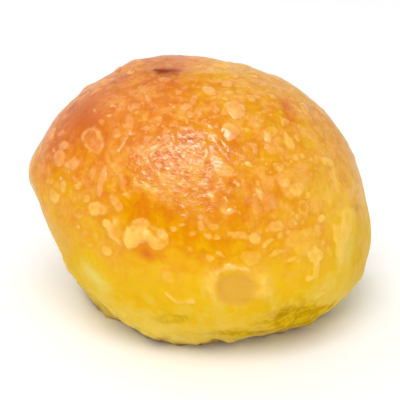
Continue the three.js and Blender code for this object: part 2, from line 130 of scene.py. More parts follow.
# Half sizes in mm, lean in degrees, pale from 0 to 1
Mark = namedtuple("Mark", "kind turn rise wide tall lean pale", defaults=[0.0])
dome, ring, patch, hollow, dent = (
    partial(Mark, kind) for kind in ("dome", "ring", "patch", "hollow", "dent")
)
MARKS = [
    # left shoulder
    patch(-137.1, 32.1, 3.4, 2.1, 12, 0.2),
    # painted highlight: a low pale dome inside the shoulder blister
    dome(-134.6, 32.6, 1.7, 1.3, 25, 0.42),
    dome(-158, 25, 2.2, 0.8, 25, 0.5),
    dome(-151, 23, 2.0, 1.1, 19, 0.7),
    dome(-150, 19, 2.4, 1.6, 9, 0.6),
    dome(-142, 21, 2.4, 1.2, 26, 0.65),
    dome(-156, 19, 1.1, 0.5, 18, 0.8),
    dome(-138, 43, 1.1, 0.6, 47, 0.8),
    dome(-139, 39, 1.1, 0.9, 12, 0.7),
    dome(-150, 40, 1.2, 0.6, 0, 0.7),
    dome(-141, 47, 0.7, 0.5, 9, 1.0),
    dome(-149, 49, 1.9, 0.8, 29, 0.35),
    dome(-138, 57, 2.1, 1.3, 23, 0.35),
    # crown and the belt below it
    dome(167, 63, 2.0, 1.4, -67, 0.4),
    dome(-131, 72, 1.8, 1.2, 26, 0.4),
    dome(-136, 62, 1.7, 1.3, -19, 0.3),
    dome(-128, 53, 1.5, 1.0, 11, 0.4),
    dome(-125, 46, 2.0, 1.2, -51, 0.4),
    dome(-103, 67, 1.1, 0.9, -81, 0.4),
    dome(-90, 72, 1.0, 0.6, 87, 0.4),
    dome(-75, 69, 1.7, 1.4, 86, 0.85),
    dome(-52, 72, 1.4, 1.0, 19, 0.7),
    dome(-59, 68, 1.0, 0.8, 7, 0.6),
    dome(-107, 62, 0.6, 0.4, 31, 0.6),
    dome(-103, 59, 0.4, 0.4, 0, 1.0),
    dome(-94, 60, 1.3, 0.9, 16, 0.75),
    dome(-90, 63, 1.6, 0.6, 88, 0.4),
    dome(-92, 57, 1.1, 0.8, 73, 0.55),
    dome(-84, 55, 0.8, 0.4, 11, 0.6),
    dome(-82, 53, 0.9, 0.4, -30, 0.8),
    dome(-76, 59, 1.6, 0.7, 74, 0.5),
    dome(-95, 51, 1.6, 0.6, 14, 0.7),
    dome(-97, 48, 0.7, 0.5, 56, 0.8),
    dome(-81, 49, 0.9, 0.6, 17, 0.8),
    dome(-86, 46, 0.6, 0.5, 23, 0.9),
    # right shoulder
    dome(-63, 59, 2.4, 1.9, 58, 0.85),
    dome(-72, 51, 2.0, 1.7, 86, 0.85),
    dome(-46, 62, 1.2, 0.9, 57, 0.65),
    dome(-46, 56, 1.0, 0.7, 33, 0.65),
    dome(-52, 53, 1.0, 0.6, 8, 0.4),
    dome(-52, 49, 1.8, 1.1, 4, 0.45),
    dome(-55, 47, 1.3, 0.8, 79, 0.85),
    dome(-40, 50, 1.4, 0.9, 21, 0.65),
    dome(-46, 44, 2.0, 1.1, 75, 0.7),
    dome(-40, 44, 1.3, 0.9, 55, 0.6),
    dome(-34, 47, 0.7, 0.4, 8, 0.7),
    dome(-16, 50, 3.0, 1.1, 19, 0.7),
    dome(-43, 38, 1.0, 0.7, -27, 0.8),
    dome(-40, 36, 0.9, 0.4, -7, 0.6),
    dome(-31, 33, 2.2, 1.0, -24, 0.7),
    dome(-33, 28, 1.4, 0.6, 69, 0.6),
    dome(-64, 44, 1.8, 0.5, 67, 0.6),
    dome(-68, 39, 1.0, 0.6, -24, 0.7),
    dome(-70, 42, 1.1, 0.5, -35, 0.6),
    dome(-65, 46, 0.9, 0.5, -6, 0.4),
    dome(-52, 42, 0.9, 0.7, -8, 0.45),
    patch(-53, 31, 3.6, 3.0, 7, 0.3),
    dome(-52.4, 28.7, 1.7, 1.3, -2, 0.8),
    dome(-56.8, 31.6, 1.2, 0.6, 15, 0.9),
    dome(-56, 32, 1.1, 0.8, 18, 0.9),
    ring(-57, 37, 1.1, 0.9, 14, 0.8),
    ring(-52, 23, 1.6, 1.3, 0, 0.6),
    dome(-46, 23, 1.9, 1.4, 54, 0.35),
    dome(-38, 25, 1.8, 0.9, 80, 0.45),
    dome(-67, 33, 0.7, 0.5, 65, 0.9),
    dome(-67, 30, 1.1, 0.5, 67, 1.0),
    dome(-70, 26, 2.2, 0.8, 82, 0.35),
    dome(-65, 27, 1.8, 1.5, 48, 0.35),
    dome(-75, 33, 0.5, 0.5, 18, 1.0),
    dome(-80, 28, 0.5, 0.5, 34, 0.8),
    dome(-79, 24, 1.0, 0.6, 5, 0.85),
    dome(-76, 24, 0.4, 0.4, 81, 0.7),
    # right cheek
    patch(-30, 14.6, 3.6, 1.7, -18, 0.75),
    patch(-33, 12.4, 2.6, 2.0, -18, 0.8),
    patch(-37.6, 10.2, 3.0, 2.3, -18, 0.85),
    patch(-39.6, 4.7, 2.2, 1.4, -70, 0.85),
    dome(-40.7, 13, 1.1, 0.9, 0, 1.0),
    dome(-19, 17, 1.5, 0.8, -6, 0.6),
    dome(-45.4, 17.6, 1.1, 1.0, 8, 0.9),
    dome(-41, 14, 0.7, 0.6, -15, 0.9),
    dome(-48, 14, 1.0, 0.6, -14, 0.5),
    patch(-51.2, 7.3, 1.9, 1.5, -17, 0.85),
    patch(-51.6, 3, 2.0, 0.9, 87, 0.7),
    patch(-53.8, 0.6, 1.2, 0.7, -20, 0.8),
    # wrinkled skin
    patch(-79.6, 37.5, 2.0, 1.3, -30, 0.7),
    dome(-97.5, 48.7, 0.7, 0.5, 80, 0.9),
    dome(-92.6, 51.4, 1.0, 0.5, 38, 0.8),
    # middle of the front
    dome(-57, 19, 0.6, 0.5, 16, 0.7),
    dome(-67, 18, 0.6, 0.5, 9, 0.8),
    dome(-60, 17, 0.8, 0.4, 24, 0.7),
    dome(-64, 19, 1.8, 1.1, 12, 0.6),
    dome(-72, 16, 1.3, 1.2, 16, 0.6),
    dome(-68, 14, 1.3, 0.6, 31, 0.65),
    dome(-77, 17, 2.3, 0.8, 2, 0.5),
    dome(-84, 16, 0.9, 0.6, 11, 0.6),
    dome(-84, 11, 1.1, 0.5, -40, 0.6),
    dome(-74, 10, 2.1, 1.6, 8, 0.35),
    dome(-65, 11, 2.2, 0.6, 17, 0.5),
    dome(-61, 8, 1.9, 0.6, 13, 0.6),
    patch(-54, 12.3, 3.2, 2.6, 10, 0.3),
    dome(-57, 14, 2.8, 1.7, -9, 0.35),
    dome(-89, 19, 1.5, 0.8, 81, 0.65),
    dome(-89, 22, 0.6, 0.5, 17, 0.9),
    dome(-92, 16, 1.0, 0.5, 14, 0.6),
    dome(-87, 16, 0.8, 0.6, 22, 0.7),
    dome(-96, 18, 0.6, 0.4, 18, 0.8),
    dome(-98, 16, 0.8, 0.5, 18, 0.7),
    ring(-95, 22, 1.1, 0.9, 51, 0.2),
    dome(-85, 19, 1.2, 0.8, 18, 0.45),
    dome(-87, 9, 1.0, 0.9, 50, 0.5),
    dome(-93, 11, 0.8, 0.6, 27, 0.35),
    patch(-70.3, 0.8, 1.9, 2.8, 10, 0.15),
    patch(-86.2, -1.0, 1.7, 3.4, 8, 0.42),
    hollow(-79.3, -1.3, 4.3, 3.9, 9, 0.75),
    # flaking skin left of the middle
    patch(-112.3, 8.6, 2.2, 1.5, 58, 0.85),
    patch(-109.9, 11.0, 3.2, 1.7, 18, 0.85),
    patch(-109, 14.6, 2.0, 1.2, 23, 0.7),
    patch(-104.4, 9.9, 1.9, 1.3, 8, 0.6),
    patch(-102, 12.4, 1.8, 1.2, -80, 0.45),
    dome(-101.4, 13.7, 0.9, 0.6, 31, 0.9),
    patch(-118, 9, 1.9, 1.5, 78, 0.15),
    dent(-109.4, 8.6, 1.1, 0.7, 24),
    dome(-106, 21, 0.5, 0.4, 23, 0.8),
    # left cheek
    dome(-145, 14, 0.7, 0.5, 29, 1.0),
    dome(-143, 12, 1.4, 1.1, 67, 0.6),
    dome(-147, 7, 1.8, 1.3, 31, 0.7),
    dome(-151, 10, 1.8, 0.8, 27, 0.4),
    dome(-136, 16, 1.3, 0.8, 29, 0.6),
    dome(-136, 11, 0.9, 0.6, 72, 0.35),
    dome(-131, 14, 1.1, 0.8, 60, 0.6),
    dome(-126, 22, 3.5, 1.0, -89, 0.65),
    dome(-126, 13, 2.5, 1.2, 28, 0.75),
    dome(-127, 11, 1.7, 0.7, 27, 0.85),
    dome(-122, 10, 1.2, 0.8, 33, 0.95),
    dome(-119, 18, 1.7, 1.0, -16, 0.6),
    dome(-117, 17, 1.1, 0.8, 31, 0.55),
    dome(-116, 22, 0.7, 0.5, 26, 0.8),
    ring(-134, 8, 1.8, 1.1, 37, 0.4),
    dome(-134, 3, 0.7, 0.4, 32, 0.8),
    dome(-131, 2, 1.1, 0.4, 29, 0.5),
    dome(-139, 0, 0.7, 0.4, 68, 0.5),
    dome(-122, 1, 1.6, 1.0, 38, 0.75),
    dome(-129, -1, 1.4, 0.4, 28, 0.5),
    # dents of the tuck and the foot
    dent(-56, -14, 7.5, 2.6, 6),
    dent(-64, -10, 2.0, 1.5, 0),
    dent(-101, -17, 3.6, 1.1, 4),
]
# Height beside a mark's mean half size
HEIGHT_SHARE = {"dome": 0.15, "patch": 0.08, "ring": 0.18, "hollow": -0.09, "dent": -0.22}

SKIN_RADIUS = 34.0  # a mark's millimetres are turned into degrees at this radius

# Larger blisters spread by chance, away from the front, where all are listed
SCATTER_TRIES = 120
SCATTER_SEED = 4711
SCATTER_HALF_WIDTH = (1.4, 2.2)
SCATTER_PALE = (0.4, 0.9)
SCATTER_LOWEST_RISE = -14
SCATTER_GAP = 1.6  # least distance between two, in their mean widths
HAND_PLACED_TURNS = (-165, -5)
LEHMER_STEP = 16807
LEHMER_SIZE = 2147483647

# Small bubbles all over the crust
BUBBLE_LOWEST = -0.5  # as a sine of the rise
BUBBLE_RISES = (-22, 12)  # where bubbles start, and where all of them stay
BUBBLE_SMALLNESS = 2.2  # more makes large bubbles rarer
BUBBLE_SQUEEZE = (0.7, 1.3)
BUBBLE_PALE = (0.2, 0.7)

# Profiles of the marks, where 0 is the middle and 1 the edge
DOME_FULLNESS = 1.1
RING_CREST = 0.78
RING_WIDTH = 0.2
RING_SAG = 0.25
RING_SAG_REACH = (0.75, 0.3)
RING_PALE_LEAST = 0.15
RING_PALE_REACH = (0.5, 0.75)
MIDDLE_PALE = 0.85  # a blister's middle beside its edge
PATCH_EDGE_REACH = (1, 0.65)
PALE_RISES_MORE = 0.4  # extra height of the palest blisters
PALE_RISES_FROM = (0.6, 0.9)
HOLLOW_FLOOR_DEPTHS = (-0.25, 0.95)  # mm inside the edge where the dry floor starts and is full
MARK_MARGIN = 1.5  # mm around a mark that are still worked out

# Width and height in mm, paleness (below 0 for painted shade in a groove), and a path of (turn,
# rise)
Ridge = namedtuple("Ridge", "wide height pale path")
# paths of two painted highlight streaks on folds in the gloss
OPEN_LOOP = [(-83.8, 37.2), (-79.7, 37.2), (-77.1, 35.2), (-75.2, 37.6), (-79.8, 40.8)]
CURVED_FOLD = [(-85.1, 43.8), (-85.1, 41.1), (-88, 37.5), (-92.4, 36.6), (-93.8, 39.4)]
CROWN_EDGE = [(158, 53), (-175, 64), (-150, 74), (-100, 81), (-40, 80), (-24, 76)]


def arc(turn, rise, wide, tall, start, end, steps=9):
    """Points of part of an ellipse on the skin, all in degrees; an angle of 90 is its top."""
    angles = [math.radians(start + (end - start) * i / (steps - 1)) for i in range(steps)]
    return [(turn + wide * math.cos(a), rise + tall * math.sin(a)) for a in angles]


RIDGES = [
    # lip and rim of the burst blister
    Ridge(0.4, 0.6, 1.1, arc(-79.2, 0.3, 8.3, 6.4, 135, 60)),
    Ridge(1.3, 0.4, 0.35, arc(-79.2, 0.2, 9.2, 6.2, 215, 140)),
    # painted highlight: the brightest top of the lip
    Ridge(0.4, 0.8, 1.5, [(-82.4, 6.9), (-80.2, 7.2)]),
    Ridge(1.7, 0.4, 0.4, arc(-78.6, 0.2, 9.2, 5.6, 62, -25)),
    # rim of the shoulder blister
    Ridge(0.42, 0.18, 0.65, arc(-137.1, 32.1, 6.4, 3.4, 0, 360, 17)),
    # hooked edge on the right shoulder
    Ridge(0.5, 0.2, 0.5, [(-35.9, 35.7), (-29.3, 33.8), (-28.8, 30.5), (-31.1, 26.7)]),
    # curled crease
    Ridge(0.35, 0.4, 1.0, [(-101.2, -6.3), (-99.3, -8.3), (-96.2, -7.9), (-93.1, -6.7)]),
    # open blister
    Ridge(0.6, 0.3, 0.9, [(-118.3, 12.8), (-119.9, 10.6), (-120.3, 8.7), (-120, 7.1)]),
    Ridge(0.5, 0.25, 0.8, [(-120, 7.1), (-118.5, 6), (-116.5, 5.7)]),
    # flaking skin
    Ridge(0.9, 0.25, 0.6, [(-113.6, 6.6), (-112.8, 8.8), (-110.8, 11), (-108.2, 12)]),
    Ridge(0.4, 0.15, 0.9, [(-108.3, 12.8), (-106.3, 12.9), (-104.7, 12.2), (-103.8, 10.9)]),
    Ridge(0.3, 0.15, 0.6, [(-105.7, 14.8), (-102.5, 14.8), (-100.6, 14.2)]),
    # creases over the tuck, and the tuck
    Ridge(0.3, 0.2, 0.6, [(-54, -7.2), (-51, -7), (-48, -6.5), (-46, -5.2)]),
    Ridge(0.25, 0.15, 0.5, [(-50, -4.5), (-47, -3.8), (-44, -3)]),
    Ridge(0.7, 0.45, 0.5, [(-67, -13), (-66, -8), (-61, -7.3), (-55, -9), (-49, -11), (-43, -13)]),
    # edges of the wrinkled skin, grooves and cracks darkened with painted shade, and strokes with
    # painted highlights
    Ridge(1.1, 0.05, 0.25, [(-122.8, 45.7), (-123.4, 40.4), (-123.9, 35.7), (-126.4, 30.4)]),
    Ridge(0.7, 0.1, 0.5, [(-126.4, 30.4), (-120.6, 28.1), (-117.5, 25.3), (-114.8, 23)]),
    Ridge(0.3, -0.1, -0.7, [(-120.8, 43.4), (-121.1, 38.7), (-121.9, 32.9)]),
    Ridge(0.3, -0.1, -0.8, [(-102.9, 33.7), (-99.3, 33.1), (-94.7, 32.6)]),
    Ridge(0.3, -0.1, -0.7, [(-108.4, 34.9), (-105.6, 33.7)]),
    Ridge(0.8, -0.1, -1.0, [(-85, 40), (-83.8, 38.7)]),
    Ridge(1.0, -0.1, -1.0, [(-77.4, 34.2), (-76.6, 32.3)]),
    Ridge(0.9, -0.1, -0.9, [(-81.2, 29.1), (-78.9, 29.7)]),
    Ridge(0.6, -0.1, -0.8, [(-116.4, 26.1), (-115.1, 24.2)]),
    # pale strokes on low folds across the gloss: painted highlight streaks
    Ridge(0.35, 0.15, 0.5, [(-110.4, 35.3), (-105.6, 33.2), (-102.5, 30.7), (-98.9, 26.9)]),
    Ridge(0.3, 0.15, 0.5, [(-101.7, 32.4), (-96.9, 31), (-93.8, 29.9)]),
    Ridge(0.35, 0.12, 0.6, [(-113.8, 25.9), (-111.1, 26.2), (-107.6, 26.7), (-104.4, 26.6)]),
    Ridge(0.3, 0.2, 0.6, OPEN_LOOP),
    Ridge(0.25, 0.15, 0.5, CURVED_FOLD),
    Ridge(0.25, -0.08, -0.7, [(-78.4, 46.9), (-75.7, 43.8)]),
    Ridge(2.4, 0.3, 0.1, CROWN_EDGE),
]

BEAD_HEIGHT = 0.2
BEAD_GLINT_PALE = 1.0
Bead = namedtuple("Bead", "turn rise wide tall")  # half width in mm, tall in degrees
GLINT_BEADS = [  # painted highlights: specks and streaks of thin skin, raised a little and painted almost white as glints
    Bead(-55.2, 46.5, 0.3, 1.0),
    Bead(-67.5, 29.5, 0.3, 1.6),
    Bead(-75.4, 33, 0.45, 0.2),
    Bead(-80, 28, 0.4, 0.3),
    Bead(-81.3, 24.7, 0.45, 0.4),
    Bead(-79.2, 24.4, 0.35, 0.2),
    Bead(-84.9, 28.7, 0.45, 0.5),
    Bead(-56.8, 31.6, 0.4, 0.4),
    Bead(-57, 36.6, 0.4, 0.2),
    Bead(-142.5, 46.9, 0.4, 0.2),
    Bead(-102.7, 58.8, 0.35, 0.1),
    Bead(-112.9, 25.6, 0.4, 0.2),
    Bead(-81.1, 48.6, 0.35, 0.2),
    Bead(-86.3, 46.1, 0.3, 0.1),
]
for bead in GLINT_BEADS:
    ends = [(bead.turn, bead.rise + bead.tall), (bead.turn, bead.rise - bead.tall)]
    RIDGES.append(Ridge(bead.wide, BEAD_HEIGHT, BEAD_GLINT_PALE, ends))

# ---------------------------------------------------------------- colour zones of the bake

BAKE_BY_RISE = (  # rises, and how far the crust is baked there
    [-60, -40, -20, -5, 8, 20, 45, 70, 90],
    [0.0, 0.05, 0.18, 0.3, 0.46, 0.6, 0.62, 0.62, 0.6],
)
BAKE_TO_LEFT = 0.13  # the left is browner
BAKE_ZONES = [  # browner, or paler where the amount is below 0
    Zone(-107.8, 5.6, 3.4, 2.3, 0.34, 30),  # reddish spot under the flaking skin
    Zone(-93, 47.6, 4, 1.8, 0.25, 14),  # brown streak over the wrinkled skin
    Zone(-75, 45, 8, 6, 0.07),  # glaze above the gloss
    Zone(-134, 37, 12, 8, 0.1),  # beside the shoulder blister
    Zone(-69.5, 1, 4.5, 5, -0.11),  # right rim of the burst blister
    Zone(-90, -1, 5, 7, -0.05),  # left rim of the burst blister
    Zone(-118.5, 17.5, 4, 4, -0.12),  # pale flake at the left of the belt
    Zone(-90, 8, 7, 4, 0.06),  # deep glaze below the belt
    Zone(-45.5, 11, 4, 9, 0.12),  # deeper streak beside the pale patch
    Zone(-80, 59, 6, 5, 0.14),  # upper front
    Zone(-163, 15, 8, 9, 0.16),  # left edge
    Zone(-157, 20, 7, 7, 0.12),  # left edge, higher
    Zone(-176, 56, 10, 8, 0.14),  # left of the crown
    Zone(-27, -5, 10, 11, 0.1),  # low right cheek, browner as painted shade
    Zone(-84, -20, 16, 5, 0.06),  # low front
    Zone(-20, 47, 9, 7, 0.06),  # right shoulder, high
    Zone(-95, 74, 9, 6, 0.05),  # front of the crown
    Zone(-158, 32, 17, 14, 0.3),  # brown shoulder
    Zone(-178, 48, 24, 18, 0.14),  # back of the brown shoulder
    Zone(170, 78, 30, 12, 0.36),  # crown
    Zone(-102, 19, 14, 6, 0.02),  # deep orange belt
    Zone(-74, 24, 12, 8, 0.08),  # right of the belt
    Zone(-8, 38, 14, 14, 0.1),  # right shoulder
    Zone(-130, -12, 7, 6, -0.2),  # cream patch
    Zone(-35, 10, 10, 12, -0.18),  # pale patch on the right
    Zone(-97, 36, 20, 12, 0.1),  # under the wrinkled skin
    Zone(-41, 23, 9, 8, -0.06),  # yellow of the right shoulder
    Zone(-147, 16, 9, 8, -0.1),  # left cheek
    Zone(-30.2, 53.4, 6.4, 2.2, 0.35, 40),  # brown streak of the right shoulder
    Zone(-53, 59, 7, 5, 0.06),  # upper right
    Zone(-40, 54, 6, 4, 0.05),  # upper right, beside the streak
]
CLEAR_ZONES = [  # smooth glaze with little clouding
    Zone(-158, 34, 16, 12, 0.8),  # brown shoulder
    Zone(-136, 36, 11, 9, 0.7),  # beside the shoulder blister
    Zone(-136, 17, 13, 12, 0.2),  # left cheek
    Zone(-107.3, 5.6, 4.5, 3.2, 1.0),  # reddish spot
    Zone(-178, 55, 20, 14, 0.5),  # left of the crown
    Zone(170, 82, 30, 9, 0.6),  # crown
    Zone(-104, 20, 12, 6, 1.0),  # belt
    Zone(-90, 12, 18, 5, 0.9),  # below the belt
    Zone(-76, 25, 10, 9, 0.8),  # right of the belt
    Zone(-74, 45, 8, 6, 0.7),  # above the gloss
    Zone(-30.2, 53.4, 7, 3, 0.8, 40),  # brown streak of the right shoulder
    Zone(-100, -20, 60, 25, 0.8),  # low front
    Zone(-113, 18, 6, 4, 0.8),  # left end of the belt
    Zone(-91, 7, 8, 4, 0.9),  # above the burst blister
    Zone(-95, 8, 36, 8, 0.4),  # front, from cheek to cheek
]
TOAST_ZONES = [  # scorched spots, and painted shade under the tuck and on the low right cheek
    Zone(-156.5, 76.8, 7.6, 4.0, 0.98, 51),  # dark spot of the crown
    Zone(-167, 73.5, 3.5, 2.0, 0.5, 35),  # tail of that spot
    Zone(142, 71, 13, 7, 0.27),  # crown
    Zone(-174, 54, 8, 6, 0.1),  # left of the crown
    Zone(-92, 47, 4.4, 1.7, 0.15, 18),  # brown streak over the wrinkled skin
    Zone(-31, 55, 3, 1.5, 0.12, 40),  # brown streak of the right shoulder
    Zone(-10, 38, 9, 22, 0.05),  # right edge
    Zone(-158, 36, 5, 4, 0.15),  # brown shoulder
    Zone(-22, 14, 3.7, 1.5, 0.3, -14),  # spot on the right belly
    Zone(-86, -34, 3.8, 2.9, 0.5, -65),  # foot, front
    Zone(-66, -26, 4.7, 3.5, 0.3, -6),  # foot under the tuck, darker as painted shade
    Zone(-168.6, 52.6, 4.5, 1.5, 0.35, 30),  # streak left of the crown
    Zone(176, 37, 3, 2, 0.4),  # left edge
    Zone(-172, 31.7, 3, 2.5, 0.4),  # left edge, nearer
    Zone(-111, -37, 6.4, 1.4, 0.5, 50),  # foot, front left
    Zone(-24, -5, 11, 13, 0.13),  # low right cheek, duller and darker as painted shade
    Zone(-61, -13, 5, 5, 0.12),  # over the tuck
]
OLIVE_ZONES = [  # painted shade in olive: darkens the tuck, the dents, the foot and the floor of the burst blister
    Zone(-53.5, -18.5, 16, 9.5, 1.3, -35),  # tuck at the right
    Zone(-76, -23.5, 12, 4, 0.6),  # foot, front
    Zone(-42, -18, 5, 5.5, 1.0),  # right end of the tuck
    Zone(-83, -28, 17, 4.6, 0.5, 4),  # along the sheet
    Zone(-70, -17, 4.5, 3, 0.5, -20),  # left end of the tuck
    Zone(-101.3, -17.8, 7.6, 2.4, 0.7, 24),  # dent at the front left
    Zone(-75, -5, 2.4, 1.5, 0.35, 7),  # floor of the burst blister
]
MILKY_ZONES = [  # dull, milky skin
    Zone(-31, 28, 9, 12, 0.5),  # right shoulder
    Zone(-22, -1, 14, 16, 0.6),  # low right cheek
    Zone(-13, 12, 8, 16, 0.4),  # right belly
    Zone(-40, 20, 6, 6, 0.45),  # over the pale patch
    Zone(-20, 47, 9, 7, 0.25),  # right shoulder, high
    Zone(142, 71, 14, 7, 0.55),  # crown
]
WRINKLE_ZONES = [  # shrivelled skin
    Zone(-97, 38, 21, 14, 1.0),  # in the gloss
    Zone(-84, 28, 14, 6, 0.5),  # below it, right
    Zone(-110, 28, 10, 7, 0.4),  # below it, left
]


# ---------------------------------------------------------------- settings


def srgb(red, green, blue):
    """A colour of 0 to 255 as the linear numbers that a colour setting holds."""

    def linear(value):
        share = value / 255
        return share / 12.92 if share <= 0.04045 else ((share + 0.055) / 1.055) ** 2.4

    return tuple(linear(value) for value in (red, green, blue))


def length(name, description, default):
    return FloatProperty(name=name, description=description, default=default, unit="LENGTH")


def four_lengths(name, description, default):
    return FloatVectorProperty(
        name=name,
        description=description + ", at the right, back, left and front",
        size=4,
        default=default,
        unit="LENGTH",
    )


def colour(name, description, default):
    return FloatVectorProperty(
        name=name,
        description=description,
        size=3,
        subtype="COLOR",
        min=0.0,
        max=1.0,
        default=default,
    )


class RollShape(bpy.types.PropertyGroup):
    height: length("Height", "From the sheet to the crown", 0.0518)
    belly_radius: four_lengths(
        "Belly radius", "How far the belly stands out", (0.0356, 0.0334, 0.0335, 0.0349)
    )
    belly_height: four_lengths(
        "Belly height", "How high the widest line is", (0.0172, 0.0178, 0.0284, 0.0191)
    )
    foot_radius: four_lengths(
        "Foot radius", "How far the flat foot reaches", (0.0232, 0.0268, 0.0260, 0.0222)
    )
    fullness_above: FloatProperty(
        name="Fullness above", description="2 is an ellipse, more is squarer", default=2.15
    )
    fullness_below: FloatProperty(
        name="Fullness below", description="2 is an ellipse, more is squarer", default=2.05
    )
    crown_lean: length("Crown lean", "How far the crown leans to the right", -0.003)
    rows: IntProperty(
        name="Rows", description="Mesh rows along each side of the six panels", default=128
    )


class RollCrust(bpy.types.PropertyGroup):
    bubbles: IntProperty(
        name="Bubbles", description="How many small bubbles are tried on the crust", default=500
    )
    bubble_seed: IntProperty(name="Bubble seed", description="Start of the chance", default=7)
    bubble_least: length("Smallest bubble", "Half width of the smallest bubble", 0.00035)
    bubble_most: length("Largest bubble", "Half width of the largest bubble", 0.0013)
    wrinkle_height: length("Wrinkle height", "Depth of the fine wrinkles", 0.00011)
    cream: colour("Cream", "Least baked crust", srgb(222, 198, 96))
    yellow: colour("Yellow", "Lightly baked crust", srgb(220, 173, 18))
    golden: colour("Golden", "Glazed crust", srgb(218, 157, 3))
    orange: colour("Orange", "Well baked glaze", srgb(211, 134, 3))
    amber: colour("Amber", "Deep glaze", srgb(208, 115, 14))
    brown: colour("Brown", "Most baked crust", srgb(196, 98, 36))
    # also the painted shade under the tuck and on the low right cheek
    toast: colour("Toast", "Scorched spots", srgb(126, 40, 10))
    # painted shade: the darker and the lighter olive of the shaded tuck and foot
    tuck_shade: colour("Damp", "Darkest dough in the tuck", srgb(188, 146, 4))
    olive: colour("Olive", "Damp dough in the tuck", srgb(212, 176, 18))
    # also the colour of the painted glints and highlight streaks
    lip_and_glint: colour("Lip", "Curled edges of open blisters", srgb(240, 194, 106))
    floor: colour("Blister floor", "Dry floor of a burst blister", srgb(210, 156, 60))
    # also painted shade: the dark of the grooves and of the ring round each blister
    pool: colour("Pooled glaze", "Deep glaze around the blisters", srgb(206, 112, 2))
    haze: colour("Haze", "Cloudy glaze between the blisters", srgb(232, 166, 84))
    blister: colour("Blister", "Thin lifted skin", srgb(234, 166, 104))
    blister_low: colour("Low blister", "Thin lifted skin on pale crust", srgb(236, 190, 87))


class RollStage(bpy.types.PropertyGroup):
    floor: colour("Floor", "Colour of the floor", (0.93, 0.93, 0.93))
    floor_width: length("Floor width", "Side of the square floor", 6.0)
    wall_distance: length("Wall distance", "From the roll back to the wall", 1.2)
    wall_height: length("Wall height", "How high the wall stands", 0.8)
    aim: FloatVectorProperty(
        name="Aim",
        description="The point that the camera looks at, from the foot's middle",
        size=3,
        default=(-0.00152, 0.0, 0.0223),
        subtype="TRANSLATION",
        unit="LENGTH",
    )
    camera_rise: FloatProperty(
        name="Camera rise",
        description="Angle of the camera above the table",
        default=math.radians(22),
        subtype="ANGLE",
    )
    camera_distance: length("Camera distance", "From the camera to the aim", 0.3)
    frame_width: length("Frame width", "What the picture shows at the aim, side to side", 0.0851)
    key_watts: FloatProperty(name="Key light", description="Power of the key light", default=10.3)
    sheen_watts: FloatProperty(
        name="Sheen", description="Power of the lamp that only shines in the glaze", default=6.2
    )
    spark_watts: FloatProperty(
        name="Spark", description="Power of the small lamp that glints in the glaze", default=0.7
    )
    fill_watts: FloatProperty(name="Fill", description="Power of the soft low light", default=4.0)
    back_watts: FloatProperty(name="Back light", description="Power of the back light", default=2.4)
    sky: FloatProperty(name="Sky", description="Strength of the white surroundings", default=0.6)


# ---------------------------------------------------------------- the dough in polar directions


def rise_of(dirs):
    """How high directions point, in degrees."""
    return np.degrees(np.arcsin(dirs[:, 2]))


def around(four, turn):
    """A value for any turn from the four given at right, back, left and front, in millimetres."""
    right, back, left, front = (value / MM for value in four)
    return (
        (right + back + left + front) / 4
        + (right - left) / 2 * np.cos(turn)
        + (back - front) / 2 * np.sin(turn)
        + (right + left - back - front) / 4 * np.cos(2 * turn)
    )


def direction(turn, rise):
    """Unit vectors towards turns and rises in degrees."""
    t, r = np.radians(turn), np.radians(rise)
    return np.stack([np.cos(r) * np.cos(t), np.cos(r) * np.sin(t), np.sin(r)], axis=-1)


def rising(value, start, end):
    """Goes smoothly from 0 at the start to 1 at the end, which may lie below the start."""
    share = np.clip((value - start) / (end - start), 0, 1)
    return share * share * (3 - 2 * share)


def axes_of(mark):
    """A mark's own two axes on the skin, along its width and its height."""
    turn = math.radians(mark.turn)
    side = np.array([-math.sin(turn), math.cos(turn), 0.0])
    up = np.cross(direction(mark.turn, mark.rise), side)
    lean = math.radians(mark.lean)
    c, s = math.cos(lean), math.sin(lean)
    return side * c + up * s, up * c - side * s


def reach_of(dirs, mark, scale):
    """How far directions are from a mark's middle, in its own half sizes."""
    wide_axis, tall_axis = axes_of(mark)
    across = dirs @ wide_axis * scale / mark.wide
    along = dirs @ tall_axis * scale / mark.tall
    return np.hypot(across, along)


def zone_mask(dirs, zones, crispness=2):
    """Spots of a list of zones, added up; 2 gives soft spots, more gives flat ones with an edge."""
    total = np.zeros(len(dirs))
    for zone in zones:
        middle = direction(zone.turn, zone.rise)
        reach = reach_of(dirs, zone, math.degrees(1))
        total += zone.amount * np.exp(-(reach**crispness)) * (dirs @ middle > 0)
    return total


def swell_height(dirs):
    """Height in millimetres of the uneven form over the plain one."""
    total = zone_mask(dirs, SWELLS)
    for wave in WAVES:
        along = np.array(wave.along) / np.linalg.norm(wave.along)
        total += wave.height * np.sin(wave.count * (dirs @ along) + wave.start)
    return total


# Humps of a size in mm, how many layers of finer ones they carry, and where in the noise they start
Humps = namedtuple("Humps", "size layers shift")
HUMPS_FADE = 0.7  # each finer layer beside the one before
HUMPS_STEP = 2.0  # how much finer each layer is


def noise_field(dirs, humps):
    """Soft noise over the skin, about -1 to 1."""
    points = dirs * (SKIN_RADIUS / humps.size) + humps.shift
    return np.array(
        [noise.fractal(Vector(p), HUMPS_FADE, HUMPS_STEP, humps.layers) for p in points]
    )


# A push of an amount in mm by humps of a size in mm
Warp = namedtuple("Warp", "size amount shift")
WARP_LAYERS = 2
WARP_AXIS_SHIFT = 31.7  # keeps the pushes along the three axes apart


def warped(dirs, warp):
    """Directions pushed about by noise, so that what is drawn with them gets uneven edges."""
    shifts = [warp.shift + WARP_AXIS_SHIFT * axis for axis in range(3)]
    push = [noise_field(dirs, Humps(warp.size, WARP_LAYERS, shift)) for shift in shifts]
    moved = dirs + np.stack(push, axis=-1) * warp.amount / SKIN_RADIUS
    return moved / np.linalg.norm(moved, axis=1, keepdims=True)


def chance(seed):
    """A seeded source of chance between 0 and 1."""
    state = seed
    while True:
        state = state * LEHMER_STEP % LEHMER_SIZE
        yield state / LEHMER_SIZE


